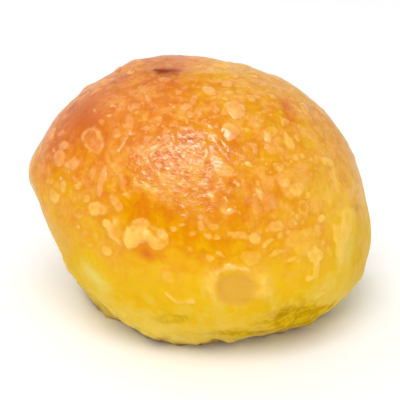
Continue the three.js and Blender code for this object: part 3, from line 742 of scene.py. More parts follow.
def scattered_marks():
    """Larger blisters spread by chance, clear of those listed and of each other."""
    source = chance(SCATTER_SEED)

    def between(least, most):
        return least + (most - least) * next(source)

    marks = []
    for _ in range(SCATTER_TRIES):
        turn = between(-180, 180)
        rise = math.degrees(math.asin(between(-1, 1)))
        half = between(*SCATTER_HALF_WIDTH)
        pale = between(*SCATTER_PALE)
        middle = direction(turn, rise)
        crowded = any(
            math.acos(min(1.0, float(middle @ direction(mark.turn, mark.rise)))) * SKIN_RADIUS
            < SCATTER_GAP * (half + max(mark.wide, mark.tall)) / 2
            for mark in MARKS + marks
        )
        in_front = HAND_PLACED_TURNS[0] < turn < HAND_PLACED_TURNS[1]
        if rise > SCATTER_LOWEST_RISE and not crowded and not in_front:
            marks.append(dome(turn, rise, half, half, 0, pale))
    return marks


def bubble_marks(crust):
    """Small bubbles all over the glazed crust, fewer towards the foot."""
    source = random.Random(crust.bubble_seed)
    least, most = crust.bubble_least / MM, crust.bubble_most / MM
    marks = []
    for _ in range(crust.bubbles):
        turn = source.uniform(-180, 180)
        rise = math.degrees(math.asin(source.uniform(BUBBLE_LOWEST, 1)))
        size = least + (most - least) * source.random() ** BUBBLE_SMALLNESS
        squeeze = source.uniform(*BUBBLE_SQUEEZE)
        lean = source.uniform(-90, 90)
        pale = source.uniform(*BUBBLE_PALE)
        if source.random() < rising(rise, *BUBBLE_RISES):
            marks.append(dome(turn, rise, size * squeeze, size / squeeze, lean, pale))
    return marks


# ---------------------------------------------------------------- relief and paleness of marks


def dome_profile(reach):
    return np.clip(1 - reach**2, 0, 1) ** DOME_FULLNESS


def ring_profile(reach):
    crest = np.exp(-(((reach - RING_CREST) / RING_WIDTH) ** 2))
    return crest - RING_SAG * rising(reach, *RING_SAG_REACH)


def patch_profile(reach):
    return rising(reach, *PATCH_EDGE_REACH)


PROFILES = {
    "dome": dome_profile,
    "dent": dome_profile,
    "ring": ring_profile,
    "patch": patch_profile,
    "hollow": patch_profile,
}


def paleness(mark, reach):
    """How pale a mark's lifted skin shows from its middle to its edge."""
    if mark.kind == "ring":
        edge, least = rising(reach, *RING_PALE_REACH), RING_PALE_LEAST
    else:
        edge, least = rising(reach, 0, 1), MIDDLE_PALE
    return mark.pale * (least + (1 - least) * edge)


Skin = namedtuple("Skin", "raised inside pale floor")
FAR_OUTSIDE = -1.0  # mm inside a blister's edge, for skin that is near none


def add_marks(dirs, marks):
    """What marks do at each direction.

    Their height in mm, the distance in mm inside the edge of lifted skin, the paleness of that
    skin, and how much of a hollow's dry floor shows.
    """
    raised, pale, floor = np.zeros((3, len(dirs)))
    skin = Skin(raised, np.full(len(dirs), FAR_OUTSIDE), pale, floor)
    for mark in marks:
        middle = direction(mark.turn, mark.rise)
        far = max(mark.wide, mark.tall) + MARK_MARGIN
        near = np.flatnonzero(dirs @ middle > math.cos(far / SKIN_RADIUS))
        if not len(near):
            continue
        reach = reach_of(dirs[near], mark, SKIN_RADIUS)
        size = math.sqrt(mark.wide * mark.tall)
        share = HEIGHT_SHARE[mark.kind]
        share *= 1 + PALE_RISES_MORE * rising(mark.pale, *PALE_RISES_FROM)
        height = share * size * PROFILES[mark.kind](reach)
        here = skin.raised[near]
        skin.raised[near] = np.where(height < 0, here + height, np.maximum(here, height))
        depth = (1 - reach) * min(mark.wide, mark.tall)
        if mark.kind == "hollow":
            skin.inside[near] = np.minimum(skin.inside[near], -depth)
            dry = mark.pale * rising(depth, *HOLLOW_FLOOR_DEPTHS)
            skin.floor[near] = np.maximum(skin.floor[near], dry)
        elif mark.pale > 0:
            before, shown = skin.pale[near], paleness(mark, reach)
            both = (skin.inside[near] > 0) & (depth > 0)
            closer = np.where(depth > skin.inside[near], shown, before)
            skin.pale[near] = np.where(both, np.maximum(before, shown), closer)
            skin.inside[near] = np.maximum(skin.inside[near], depth)
    return skin


# Ridges come and go along their length
RIDGE_GAPS = Humps(1.5, 2, 71.0)
RIDGE_MEAN = 0.75
RIDGE_VARIES = 0.8
RIDGE_LIMITS = (0.15, 1.25)


def ridge_height(dirs):
    """Height in millimetres of the creases and lips, and how pale they are; below 0, how dark the
    painted shade in a groove is. Beads and strokes on the gloss are painted highlights.
    """
    raised, pale = np.zeros((2, len(dirs)))
    broken = np.clip(RIDGE_MEAN + RIDGE_VARIES * noise_field(dirs, RIDGE_GAPS), *RIDGE_LIMITS)
    for ridge in RIDGES:
        nodes = direction(*np.array(ridge.path, dtype=float).T)
        apart = np.full(len(dirs), np.inf)
        for start, end in zip(nodes[:-1], nodes[1:]):
            along = end - start
            share = np.clip((dirs - start) @ along / (along @ along), 0, 1)
            foot = start + share[:, None] * along
            apart = np.minimum(apart, np.linalg.norm(dirs - foot, axis=1))
        crest = np.exp(-((apart * SKIN_RADIUS / ridge.wide) ** 2)) * broken
        higher = np.abs(ridge.height) * crest > np.abs(raised)
        raised = np.where(higher, ridge.height * crest, raised)
        clearer = abs(ridge.pale) * crest > np.abs(pale)
        pale = np.where(clearer, ridge.pale * crest, pale)
    return raised, pale


DRAWN_OUT = np.array([0.7, 0.9, 1.5])  # wrinkles run sideways, so they are closer up the roll
WRINKLE_WARP = Warp(2.2, 0.5, 5.0)
WRINKLE_FOLDS = Humps(1.3, 2, 9.0)
FOLD_SHARPNESS = 2.4
WRINKLES_ELSEWHERE = 0.12  # share of the wrinkles that the smooth skin has
UNEVEN_SKIN = Humps(4.0, 4, 3.0)
UNEVEN_HEIGHT = 0.07


def wrinkle_height(dirs, depth, zone):
    """Fine shrivelled skin, strongest in the wrinkle zones."""
    crumpled = warped(dirs, WRINKLE_WARP) * DRAWN_OUT
    folds = 1 - FOLD_SHARPNESS * np.abs(noise_field(crumpled, WRINKLE_FOLDS))
    strength = WRINKLES_ELSEWHERE + (1 - WRINKLES_ELSEWHERE) * zone
    return depth * strength * folds + UNEVEN_HEIGHT * noise_field(dirs, UNEVEN_SKIN)


FOOT_RISES = (-14, -28)  # the foot's lumps start and are full here
FOOT_LUMPS = ((0.7, Humps(5.0, 2, 41.0)), (0.3, Humps(1.8, 2, 47.0)))  # heights in mm


def foot_lumps(dirs):
    """Uneven dough where the roll spread on its sheet."""
    low = rising(rise_of(dirs), *FOOT_RISES)
    return low * sum(height * noise_field(dirs, humps) for height, humps in FOOT_LUMPS)


SCORCH_HEIGHT = 1.0 * MM
SCORCH_GAPS = Humps(3.0, 2, 53.0)
SCORCH_NOISE = (-0.75, 0.25)  # noise where the line starts and is full
SCORCH_DARKNESS = 0.9


def foot_scorch(dirs, points):
    """A broken brown line where the dough touched the hot sheet."""
    edge = np.exp(-points[:, 2] / SCORCH_HEIGHT)
    return SCORCH_DARKNESS * edge * rising(noise_field(dirs, SCORCH_GAPS), *SCORCH_NOISE)


# ---------------------------------------------------------------- the roll's mesh

CROWDED_TOWARDS = np.array([0.0, -0.12, 0.26])  # the mesh is finest on the crown and the front
SEAM_DIGITS = 6  # places after the point to which corners of two panels agree


def ball_of_panels(rows):
    """Directions and four-sided faces of a ball made of six square panels."""
    steps = np.tan(np.linspace(-1, 1, rows + 1) * math.pi / 4)
    u, v = np.meshgrid(steps, steps, indexing="ij")
    one = np.ones_like(u)
    index = np.arange((rows + 1) ** 2).reshape(rows + 1, rows + 1)
    quads = np.stack([index[:-1, :-1], index[1:, :-1], index[1:, 1:], index[:-1, 1:]], axis=-1)
    quads = quads.reshape(-1, 4)
    dirs, faces = [], []
    for axis in range(3):
        for sign in (1, -1):
            panel = np.roll(np.stack([sign * one, u, v], axis=-1), axis, axis=-1)
            turned = quads if sign > 0 else quads[:, ::-1]
            faces.append(turned + len(dirs) * index.size)
            dirs.append(panel.reshape(-1, 3))
    dirs = np.concatenate(dirs)
    dirs /= np.linalg.norm(dirs, axis=1, keepdims=True)
    dirs += CROWDED_TOWARDS
    dirs /= np.linalg.norm(dirs, axis=1, keepdims=True)
    _, first, place = np.unique(
        np.round(dirs, SEAM_DIGITS), axis=0, return_index=True, return_inverse=True
    )
    return dirs[first], place.reshape(-1)[np.concatenate(faces)]


NEARLY_NONE = 1e-6  # keeps a division from zero


def skin_points(dirs, shape, relief):
    """The points of the skin in millimetres, with the foot cut flat by the sheet."""
    turn = np.arctan2(dirs[:, 1], dirs[:, 0])
    flat = np.hypot(dirs[:, 0], dirs[:, 1])
    rise = dirs[:, 2]
    belly = around(shape.belly_radius, turn)
    level = around(shape.belly_height, turn)
    foot = around(shape.foot_radius, turn)
    full = np.where(rise >= 0, shape.fullness_above, shape.fullness_below)
    depth = level / (1 - (foot / belly) ** full) ** (1 / full)
    vertical = np.where(rise >= 0, shape.height / MM - level, depth)
    plain = ((flat / belly) ** full + (np.abs(rise) / vertical) ** full) ** (-1 / full)
    out = plain + relief
    z = np.maximum(0, level + out * rise)
    radius = flat * np.where(z > 0, out, level / np.maximum(-rise, NEARLY_NONE))
    lean = shape.crown_lean / shape.height * z
    return np.stack([radius * np.cos(turn) + lean, radius * np.sin(turn), z], axis=-1)


def to_middle(points):
    """How far the points, in metres, must move to stand over the middle of the solid's plan."""
    low, high = CAD_BOX
    want = np.array([(low.x + high.x) / 2, (low.y + high.y) / 2])
    have = (points[:, :2].min(axis=0) + points[:, :2].max(axis=0)) / 2
    return want - have


def new_mesh_object(name, points, faces):
    """Adds a smooth mesh to the scene."""
    mesh = bpy.data.meshes.new(name)
    mesh.from_pydata(points.tolist(), [], faces.tolist())
    mesh.polygons.foreach_set("use_smooth", np.ones(len(faces), dtype=bool))
    mesh.update()
    piece = bpy.data.objects.new(name, mesh)
    bpy.context.collection.objects.link(piece)
    return piece


def set_field(piece, name, values):
    """Keeps a number for each point of the skin, for the material to read."""
    layer = piece.data.attributes.new(name, "FLOAT", "POINT")
    layer.data.foreach_set("value", np.ascontiguousarray(values, dtype=np.float32))


BROAD_BAKE = Humps(9.0, 3, 17.0)
BROAD_BAKE_VARIES = 0.05
MOTTLED_BAKE = Humps(2.4, 3, 23.0)
MOTTLED_LEAST = 0.02
MOTTLED_MORE = 0.04
MOTTLED_RISES = (-8, 12)


def bake_field(dirs):
    """How far each place is baked, from 0, pale, to 1, brown."""
    rise = rise_of(dirs)
    field = np.interp(rise, *BAKE_BY_RISE) - BAKE_TO_LEFT * dirs[:, 0]
    field += zone_mask(dirs, BAKE_ZONES)
    mottled = MOTTLED_LEAST + MOTTLED_MORE * rising(rise, *MOTTLED_RISES)
    field += BROAD_BAKE_VARIES * noise_field(dirs, BROAD_BAKE)
    return field + mottled * noise_field(dirs, MOTTLED_BAKE)


RAGGED_BROAD = Warp(3.2, 0.4, 0.0)
RAGGED_FINE = Warp(1.1, 0.22, 60.0)
WRINKLE_ZONE_WARP = Warp(8.0, 2.5, 2.0)
BUBBLE_CLEARANCE = 0.2  # mm between the small bubbles and the large blisters
BUBBLE_LEAST_SHOWN = 0.3  # share of a small bubble that shows in smooth glaze
OLIVE_CRISPNESS = 5


def make_roll(shape, crust):
    """The roll's skin with its colour fields, and how far it was moved in plan."""
    dirs, faces = ball_of_panels(shape.rows)
    uneven = warped(warped(dirs, RAGGED_BROAD), RAGGED_FINE)
    large = add_marks(uneven, MARKS + scattered_marks())
    small = add_marks(uneven, bubble_marks(crust))
    ridges, ridge_lip_glint_shade = ridge_height(uneven)
    wrinkle = np.clip(zone_mask(warped(dirs, WRINKLE_ZONE_WARP), WRINKLE_ZONES), 0, 1)
    clear = (large.inside < -BUBBLE_CLEARANCE) & (large.floor == 0)
    relief = swell_height(dirs) + large.raised + small.raised * clear + ridges + foot_lumps(dirs)
    relief += wrinkle_height(dirs, crust.wrinkle_height / MM, wrinkle)
    points = skin_points(dirs, shape, relief) * MM
    offset = to_middle(points)
    points[:, :2] += offset
    roll = new_mesh_object("crust_skin", points, faces)
    small_wins = clear & (small.inside > large.inside)
    cloud = 1 - np.clip(zone_mask(uneven, CLEAR_ZONES), 0, 1)
    small_pale = small.pale * (BUBBLE_LEAST_SHOWN + (1 - BUBBLE_LEAST_SHOWN) * cloud)
    fields = {
        "bake": bake_field(dirs),
        "inside": np.where(small_wins, small.inside, large.inside),
        "pale": np.where(small_wins, small_pale, large.pale),
        "floor": large.floor,
        "ridge": ridge_lip_glint_shade,
        "cloud": cloud,
        "toast": np.clip(zone_mask(uneven, TOAST_ZONES) + foot_scorch(dirs, points), 0, 1),
        # painted shade of the tuck, the dents and the foot
        "olive": np.clip(zone_mask(uneven, OLIVE_ZONES, OLIVE_CRISPNESS), 0, 1),
        "milky": np.clip(zone_mask(uneven, MILKY_ZONES), 0, 1),
        "wrinkle": wrinkle,
    }
    for name, values in fields.items():
        set_field(roll, name, values)
    return roll, offset


# ---------------------------------------------------------------- crust material

# A noise of the crust: humps in a metre, finer layers, their strength and how far it is stirred
Grain = namedtuple("Grain", "per_metre detail rough warp", defaults=[3.0, 0.55, 0.0])
UNEVEN_BAKE = Grain(380, 4.0, 0.6, 0.6)
RAGGED_EDGE = Grain(900, 4.0, 0.65)
CLOUDED_BLISTER = Grain(650)
CLOUDED_GLAZE = Grain(330, 6.0, 0.66, 0.3)
MILKY_BLOTS = Grain(260, 3.0, 0.55, 0.4)
TUCK_SHADE_STREAKS = Grain(620, 4.0, 0.65)
FINE_GRAIN = Grain(1500, 4.0, 0.6, 0.4)
FLAKY_GLAZE = Grain(700, 4.0, 0.7)
FOLDS = Grain(800, warp=1.0)
CRUMPLE = Grain(1600, warp=0.8)
FOLDS_TURN = math.radians(-20)

# Where a value starts and ends to count, and what it becomes there
Span = namedtuple("Span", "start end from_value to_value", defaults=[0.0, 1.0])

# By how far the crust is baked
UNEVEN_BY_BAKE = Span(0.2, 0.5, 0.03, 0.1)
GLAZED_BY_BAKE = Span(0.3, 0.52)
HAZE_BY_BAKE = Span(0.22, 0.46)
BLISTER_BY_BAKE = Span(0.5, 0.72)
ROUGH_BY_BAKE = Span(0.15, 0.5, 0.6, 0.4)
COAT_BY_BAKE = Span(0.25, 0.5, 0.1, 0.55)
DRY_BY_TOAST = Span(0.2, 0.8, 1.0, 0.4)
BAKE_STOPS = {
    "cream": 0.08,
    "yellow": 0.28,
    "golden": 0.48,
    "orange": 0.66,
    "amber": 0.78,
    "brown": 0.97,
}

# By a noise
UNEVEN_SPAN = Span(0.3, 0.7, -1.0, 1.0)
CLOUDED_SPAN = Span(0.3, 0.66, 0.55, 1.2)
HAZE_SPAN = Span(0.45, 0.62)
BLOTS_SPAN = Span(0.44, 0.58, 0.25, 1.0)
TUCK_SHADE_SPAN = Span(0.42, 0.62)
FLAKY_SPAN = Span(0.4, 0.62, 0.02, 0.14)

# By millimetres inside the edge of a blister
RAGGED_MM = 0.85
LIFTED_SPAN = Span(-0.08, 0.38)
MOAT_SPAN = Span(-0.7, -0.05)

# Shares of a colour that show
MOAT_SHOWN = 0.2
BUBBLES_SHOWN = 0.6
SPECKS_SHOWN = 0.5
HAZE_MORE = 0.62
HAZE_LEAST = 0.12
LIP_AND_GLINT_SHOWN = 0.8
GROOVE_SHADE_SHOWN = 0.9

# Relief in millimetres
GRAIN_HEIGHT = 0.04
FOLDS_HEIGHT = 0.2
CRUMPLE_HEIGHT = 0.14
LIFTED_HEIGHT = 0.03
BUBBLES_HEIGHT = 0.04
SPECKS_HEIGHT = 0.025

# Gloss and depth of the crust
COAT_ROUGH_LEAST = 0.08
COAT_ROUGH_BLISTER = 0.12
COAT_IOR = 1.3
SOFT_WEIGHT = 0.2
SOFT_RADIUS = (1.0, 0.45, 0.12)
SOFT_DEPTH = 0.002

# Bubbles too small for the mesh: cells in a metre, share that holds a bubble, and its widest radius
Layer = namedtuple("Layer", "per_metre kept widest")
BUBBLES = Layer(520, 0.45, 0.42)
SPECKS = Layer(1100, 0.35, 0.4)
LAYER_STIR = 0.5  # how far the cells are pushed about, in their own width
LAYER_STIR_GRAIN = 1.3  # humps of that push for each cell
LAYER_STIR_DETAIL = 2.0
LAYER_SMALLEST = 0.4  # smallest bubble beside the widest
LAYER_EDGE = 0.1  # soft edge of a bubble, in cells
LAYER_KEEP_EDGE = 0.01  # soft edge of the choice of cells


class Nodes:
    """Short ways to add and join the nodes of a material.

    The crust also keeps here what many of its layers share: place, bake, cloud and glazed.
    """

    def __init__(self, material):
        material.use_nodes = True
        self.tree = material.node_tree
        self.tree.nodes.clear()

    def add(self, kind, **settings):
        node = self.tree.nodes.new(kind)
        for name, value in settings.items():
            setattr(node, name, value)
        return node

    def join(self, output, socket):
        self.tree.links.new(output, socket)

    def attribute(self, name):
        return self.add("ShaderNodeAttribute", attribute_name=name).outputs["Fac"]

    def math(self, operation, first, second=0.0, third=0.0, clamp=False):
        node = self.add("ShaderNodeMath", operation=operation, use_clamp=clamp)
        for socket, value in zip(node.inputs, (first, second, third)):
            if hasattr(value, "is_linked"):
                self.join(value, socket)
            else:
                socket.default_value = value
        return node.outputs[0]

    def times(self, first, second, clamp=False):
        return self.math("MULTIPLY", first, second, clamp=clamp)

    def mix(self, share, first, second):
        """A colour between two, each a socket or a plain colour."""
        node = self.add("ShaderNodeMix", data_type="RGBA")
        sockets = {socket.identifier: socket for socket in node.inputs}
        self.join(share, sockets["Factor_Float"])
        for name, value in (("A_Color", first), ("B_Color", second)):
            if hasattr(value, "is_linked"):
                self.join(value, sockets[name])
            else:
                sockets[name].default_value = (*value, 1.0)
        return next(socket for socket in node.outputs if socket.type == "RGBA")

    def texture(self, grain, place, kind="FBM"):
        """A noise whose strength of finer layers is left as it is."""
        node = self.add("ShaderNodeTexNoise", noise_type=kind)
        self.join(place, node.inputs["Vector"])
        node.inputs["Scale"].default_value = grain.per_metre
        node.inputs["Detail"].default_value = grain.detail
        node.inputs["Distortion"].default_value = grain.warp
        return node

    def noise(self, grain):
        node = self.texture(grain, self.place)
        node.inputs["Roughness"].default_value = grain.rough
        return node.outputs["Fac"]

    def ridged(self, grain):
        """Sharp folds that run sideways and a little down to the right."""
        turned = self.add("ShaderNodeMapping")
        self.join(self.place, turned.inputs["Vector"])
        turned.inputs["Rotation"].default_value = (0.0, FOLDS_TURN, 0.0)
        turned.inputs["Scale"].default_value = tuple(DRAWN_OUT)
        return self.texture(grain, turned.outputs[0], "RIDGED_MULTIFRACTAL").outputs["Fac"]

    def spread(self, value, span):
        """What a value becomes between the ends of a span, softly."""
        node = self.add("ShaderNodeMapRange", interpolation_type="SMOOTHSTEP")
        self.join(value, node.inputs["Value"])
        for name, number in zip(("From Min", "From Max", "To Min", "To Max"), span):
            node.inputs[name].default_value = number
        return node.outputs["Result"]


def bubble_layer(nodes, layer):
    """Bubbles too small for the mesh: how much of the lifted skin shows, from 0 to 1."""
    stir = Grain(layer.per_metre * LAYER_STIR_GRAIN, LAYER_STIR_DETAIL)
    push = nodes.texture(stir, nodes.place)
    moved = nodes.add("ShaderNodeVectorMath", operation="MULTIPLY_ADD")
    nodes.join(push.outputs["Color"], moved.inputs[0])
    moved.inputs[1].default_value = (LAYER_STIR / layer.per_metre,) * 3
    nodes.join(nodes.place, moved.inputs[2])
    cells = nodes.add("ShaderNodeTexVoronoi")
    nodes.join(moved.outputs[0], cells.inputs["Vector"])
    cells.inputs["Scale"].default_value = layer.per_metre
    split = nodes.add("ShaderNodeSeparateColor")
    nodes.join(cells.outputs["Color"], split.inputs[0])
    widths = Span(0, 1, layer.widest * LAYER_SMALLEST, layer.widest)
    radius = nodes.spread(split.outputs[0], widths)
    inside = nodes.math("SUBTRACT", radius, cells.outputs["Distance"])
    empty = Span(layer.kept - LAYER_KEEP_EDGE, layer.kept, 1.0, 0.0)
    shown = nodes.spread(split.outputs[1], empty)
    return nodes.times(nodes.spread(inside, Span(0.0, LAYER_EDGE)), shown)


def baked_colour(nodes, crust):
    """The crust's own colour, from cream where it is least baked to brown."""
    uneven = nodes.spread(nodes.noise(UNEVEN_BAKE), UNEVEN_SPAN)
    uneven = nodes.times(uneven, nodes.spread(nodes.bake, UNEVEN_BY_BAKE))
    ramp = nodes.add("ShaderNodeValToRGB")
    stops = ramp.color_ramp.elements
    while len(stops) < len(BAKE_STOPS):
        stops.new(0.5)
    for stop, (name, place) in zip(stops, BAKE_STOPS.items()):
        stop.position = place
        stop.color = (*getattr(crust, name), 1.0)
    nodes.join(nodes.math("ADD", nodes.bake, uneven, clamp=True), ramp.inputs["Fac"])
    return ramp.outputs["Color"]


def small_skin(nodes, bubbles, specks):
    """How much of the lifted skin of small bubbles and of milky blots shows."""
    bubbles = nodes.times(bubbles, BUBBLES_SHOWN)
    specks = nodes.times(specks, SPECKS_SHOWN)
    tiny = nodes.times(nodes.math("MAXIMUM", bubbles, specks), nodes.cloud)
    blots = nodes.spread(nodes.noise(MILKY_BLOTS), BLOTS_SPAN)
    return nodes.math("MAXIMUM", tiny, nodes.times(blots, nodes.attribute("milky")))


def haze_shown(nodes):
    """How cloudy the glaze is between the blisters."""
    clouds = nodes.spread(nodes.noise(CLOUDED_GLAZE), HAZE_SPAN)
    haze = nodes.times(nodes.math("MULTIPLY_ADD", clouds, HAZE_MORE, HAZE_LEAST), nodes.cloud)
    return nodes.times(haze, nodes.spread(nodes.bake, HAZE_BY_BAKE))


def crust_colour(nodes, crust, edge, large, tiny):
    """The skin's colour over the bake: glaze, blisters, creases, lips and scorched spots, and
    painted light: glints and highlight streaks, and shade in grooves, round the blisters, in the
    tuck and on the low right cheek.
    """
    skin = nodes.mix(haze_shown(nodes), baked_colour(nodes, crust), crust.haze)
    # a ring of deeper pooled glaze round each blister, darkened further as painted shade
    pooled_shaded_moat = nodes.times(nodes.spread(edge, MOAT_SPAN), MOAT_SHOWN)
    skin = nodes.mix(nodes.times(pooled_shaded_moat, nodes.glazed), skin, crust.pool)
    skin = nodes.mix(nodes.attribute("floor"), skin, crust.floor)
    pale = nodes.mix(nodes.spread(nodes.bake, BLISTER_BY_BAKE), crust.blister_low, crust.blister)
    skin = nodes.mix(nodes.math("MAXIMUM", large, tiny), skin, pale)
    ridge = nodes.attribute("ridge")
    # pale lips, and painted glints and highlight streaks
    skin = nodes.mix(nodes.times(ridge, LIP_AND_GLINT_SHOWN, clamp=True), skin, crust.lip_and_glint)
    # grooves darkened with painted shade
    skin = nodes.mix(nodes.times(ridge, -GROOVE_SHADE_SHOWN, clamp=True), skin, crust.pool)
    # painted shade of the tuck and the foot, two olives streaked by noise
    tuck_shade = nodes.mix(nodes.spread(nodes.noise(TUCK_SHADE_STREAKS), TUCK_SHADE_SPAN), crust.tuck_shade, crust.olive)
    skin = nodes.mix(nodes.attribute("olive"), skin, tuck_shade)
    # scorched spots, and painted shade under the tuck and on the low right cheek
    return nodes.mix(nodes.attribute("toast"), skin, crust.toast)


def crust_relief(nodes, lifted, bubbles, specks):
    """The relief that is finer than the mesh, as a bumped surface."""
    grain = nodes.times(nodes.noise(FINE_GRAIN), GRAIN_HEIGHT)
    folds = nodes.times(nodes.ridged(FOLDS), FOLDS_HEIGHT)
    creased = nodes.math("MULTIPLY_ADD", nodes.ridged(CRUMPLE), CRUMPLE_HEIGHT, folds)
    height = nodes.math("ADD", grain, nodes.times(creased, nodes.attribute("wrinkle")))
    height = nodes.math("MULTIPLY_ADD", lifted, LIFTED_HEIGHT, height)
    height = nodes.math("MULTIPLY_ADD", bubbles, BUBBLES_HEIGHT, height)
    height = nodes.math("MULTIPLY_ADD", specks, SPECKS_HEIGHT, height)
    bump = nodes.add("ShaderNodeBump")
    bump.inputs["Strength"].default_value = 1.0
    bump.inputs["Distance"].default_value = MM
    nodes.join(height, bump.inputs["Height"])
    return bump.outputs["Normal"]


def crust_gloss(nodes, shader, large):
    """A soft dough under a coat of egg glaze, dull on blisters and where it is flaky."""
    nodes.join(nodes.spread(nodes.bake, ROUGH_BY_BAKE), shader.inputs["Roughness"])
    dry = nodes.spread(nodes.attribute("toast"), DRY_BY_TOAST)
    glaze = nodes.times(nodes.spread(nodes.bake, COAT_BY_BAKE), dry)
    nodes.join(glaze, shader.inputs["Coat Weight"])
    flaky = nodes.spread(nodes.noise(FLAKY_GLAZE), FLAKY_SPAN)
    flaky = nodes.math("MULTIPLY_ADD", flaky, nodes.cloud, COAT_ROUGH_LEAST)
    flaky = nodes.math("MULTIPLY_ADD", large, COAT_ROUGH_BLISTER, flaky)
    nodes.join(flaky, shader.inputs["Coat Roughness"])
    shader.inputs["Coat IOR"].default_value = COAT_IOR
    shader.inputs["Specular IOR Level"].default_value = 0.0
    shader.inputs["Subsurface Weight"].default_value = SOFT_WEIGHT
    shader.inputs["Subsurface Radius"].default_value = SOFT_RADIUS
    shader.inputs["Subsurface Scale"].default_value = SOFT_DEPTH


def new_material(name):
    material = bpy.data.materials.new(name)
    nodes = Nodes(material)
    shader = nodes.add("ShaderNodeBsdfPrincipled")
    output = nodes.add("ShaderNodeOutputMaterial")
    nodes.join(shader.outputs[0], output.inputs["Surface"])
    return material, nodes, shader


def crust_material(crust):
    """The whole crust: what the fields of the mesh and the fine noises make of its colours."""
    material, nodes, shader = new_material("glazed_crust")
    nodes.place = nodes.add("ShaderNodeTexCoord").outputs["Object"]
    nodes.bake = nodes.attribute("bake")
    nodes.cloud = nodes.attribute("cloud")
    nodes.glazed = nodes.spread(nodes.bake, GLAZED_BY_BAKE)
    ragged = nodes.math("MULTIPLY_ADD", nodes.noise(RAGGED_EDGE), RAGGED_MM, -RAGGED_MM / 2)
    edge = nodes.math("ADD", nodes.attribute("inside"), ragged)
    lifted = nodes.spread(edge, LIFTED_SPAN)
    clouded = nodes.spread(nodes.noise(CLOUDED_BLISTER), CLOUDED_SPAN)
    large = nodes.times(nodes.times(lifted, nodes.attribute("pale")), clouded)
    bubbles = nodes.times(bubble_layer(nodes, BUBBLES), nodes.glazed)
    specks = nodes.times(bubble_layer(nodes, SPECKS), nodes.glazed)
    tiny = small_skin(nodes, bubbles, specks)
    nodes.join(crust_colour(nodes, crust, edge, large, tiny), shader.inputs["Base Color"])
    surface = crust_relief(nodes, lifted, bubbles, specks)
    nodes.join(surface, shader.inputs["Normal"])
    nodes.join(surface, shader.inputs["Coat Normal"])
    crust_gloss(nodes, shader, large)
    return material


# ---------------------------------------------------------------- stage

STAGE_ROUGHNESS = 0.8


def plain_material(name, tint):
    material, _, shader = new_material(name)
    shader.inputs["Base Color"].default_value = (*tint, 1.0)
    shader.inputs["Roughness"].default_value = STAGE_ROUGHNESS
    return material


def make_sheet(name, corners, material):
    sheet = new_mesh_object(name, np.array(corners), np.array([[0, 1, 2, 3]]))
    sheet.data.materials.append(material)


def make_floor(stage):
    """A wide floor, and a low wall well behind that shows in the glaze of the crown."""
    half = stage.floor_width / 2
    low = CAD_BOX[0].z
    high = low + stage.wall_height
    back = stage.wall_distance
    white = plain_material("stage_white", stage.floor)
    floor = [(-half, -half, low), (half, -half, low), (half, half, low), (-half, half, low)]
    wall = [(-half, back, low), (half, back, low), (half, back, high), (-half, back, high)]
    make_sheet("floor", floor, white)
    make_sheet("wall", wall, white)


def aimed(thing, place, target):
    """Puts a lamp or a camera at a place and turns it to the target."""
    thing.location = place
    thing.rotation_euler = (Vector(target) - Vector(place)).to_track_quat("-Z", "Y").to_euler()


SENSOR_WIDTH = 36.0  # mm
NEAREST_SEEN = 0.01


def make_camera(stage, target):
    data = bpy.data.cameras.new("camera")
    data.sensor_width = SENSOR_WIDTH
    data.lens = SENSOR_WIDTH * stage.camera_distance / stage.frame_width
    data.clip_start = NEAREST_SEEN
    camera = bpy.data.objects.new("camera", data)
    bpy.context.collection.objects.link(camera)
    back = Vector((0, -math.cos(stage.camera_rise), math.sin(stage.camera_rise)))
    aimed(camera, target + back * stage.camera_distance, target)
    bpy.context.scene.camera = camera


# Where a lamp stands round the roll, its width and height in metres, and rays it is hidden from
Lamp = namedtuple("Lamp", "turn rise distance wide tall hidden_from")
LAMPS = {
    "key": Lamp(-100, 60, 1.3, 1.0, 1.0, "glossy"),
    "sheen": Lamp(-101, 63.5, 0.5, 0.34, 0.19, "diffuse"),
    "spark": Lamp(-96, 58, 0.5, 0.06, 0.06, "diffuse"),
    "fill": Lamp(-88, 12, 1.4, 1.0, 1.0, "glossy"),
    "back": Lamp(130, 45, 1.4, 0.8, 0.8, None),
}


def make_lamp(name, lamp, watts, target):
    """A round or oval soft lamp."""
    data = bpy.data.lights.new(name, "AREA")
    data.shape = "DISK" if lamp.wide == lamp.tall else "ELLIPSE"
    data.size = lamp.wide
    data.size_y = lamp.tall
    data.energy = watts
    light = bpy.data.objects.new(name, data)
    bpy.context.collection.objects.link(light)
    aimed(light, target + Vector(direction(lamp.turn, lamp.rise)) * lamp.distance, target)
    light.visible_glossy = lamp.hidden_from != "glossy"
    light.visible_diffuse = lamp.hidden_from != "diffuse"


def make_sky(stage):
    """White surroundings that light the crust but don't shine in its glaze."""
    world = bpy.data.worlds.new("studio")
    world.use_nodes = True
    background = world.node_tree.nodes["Background"]
    background.inputs["Color"].default_value = (1.0, 1.0, 1.0, 1.0)
    background.inputs["Strength"].default_value = stage.sky
    world.cycles_visibility.glossy = False
    bpy.context.scene.world = world


# ---------------------------------------------------------------- operators and panel


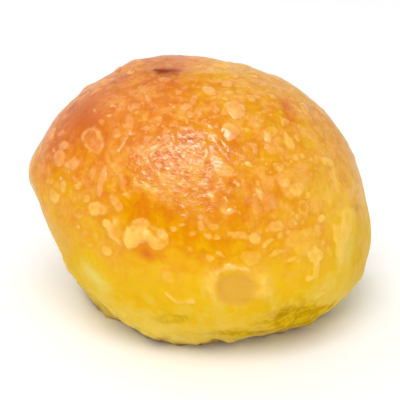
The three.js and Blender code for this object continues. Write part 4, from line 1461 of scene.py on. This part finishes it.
class ROLL_OT_crust(bpy.types.Operator):
    """Makes the roll: leaning dough, blistered skin and glazed crust"""

    bl_idname = "bread_roll.crust"
    bl_label = "Make the roll"

    def execute(self, context):
        scene = context.scene
        roll, offset = make_roll(scene.roll_shape, scene.roll_crust)
        roll.data.materials.append(crust_material(scene.roll_crust))
        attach(roll, "root")
        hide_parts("roll")
        roll["middle_x"], roll["middle_y"] = float(offset[0]), float(offset[1])
        return {"FINISHED"}


class ROLL_OT_stage(bpy.types.Operator):
    """Makes the pale floor, the soft lights, the white surroundings and the camera"""

    bl_idname = "bread_roll.stage"
    bl_label = "Make the stage"

    def execute(self, context):
        stage = context.scene.roll_stage
        roll = bpy.data.objects["crust_skin"]
        target = Vector(stage.aim) + Vector((roll["middle_x"], roll["middle_y"], 0))
        make_floor(stage)
        make_sky(stage)
        for name, lamp in LAMPS.items():
            make_lamp(name, lamp, getattr(stage, name + "_watts"), target)
        make_camera(stage, target)
        context.scene.view_settings.view_transform = "Standard"
        return {"FINISHED"}


class ROLL_PT_panel(bpy.types.Panel):
    """Lists the steps that make the roll and its stage"""

    bl_idname = "ROLL_PT_panel"
    bl_label = "Bread roll"
    bl_space_type = "VIEW_3D"
    bl_region_type = "UI"
    bl_category = "Bread roll"

    def draw(self, context):
        for operator in OPERATORS:
            self.layout.operator(operator.bl_idname)


SETTINGS = {"roll_shape": RollShape, "roll_crust": RollCrust, "roll_stage": RollStage}
OPERATORS = (ROLL_OT_crust, ROLL_OT_stage)
CLASSES = (*SETTINGS.values(), *OPERATORS, ROLL_PT_panel)


def register():
    for cls in CLASSES:
        bpy.utils.register_class(cls)
    for name, group in SETTINGS.items():
        setattr(bpy.types.Scene, name, PointerProperty(type=group))


def unregister():
    for name in SETTINGS:
        delattr(bpy.types.Scene, name)
    for cls in reversed(CLASSES):
        bpy.utils.unregister_class(cls)


def main():
    register()
    bpy.ops.bread_roll.crust()
    bpy.ops.bread_roll.stage()


if __name__ == "__main__":
    main()
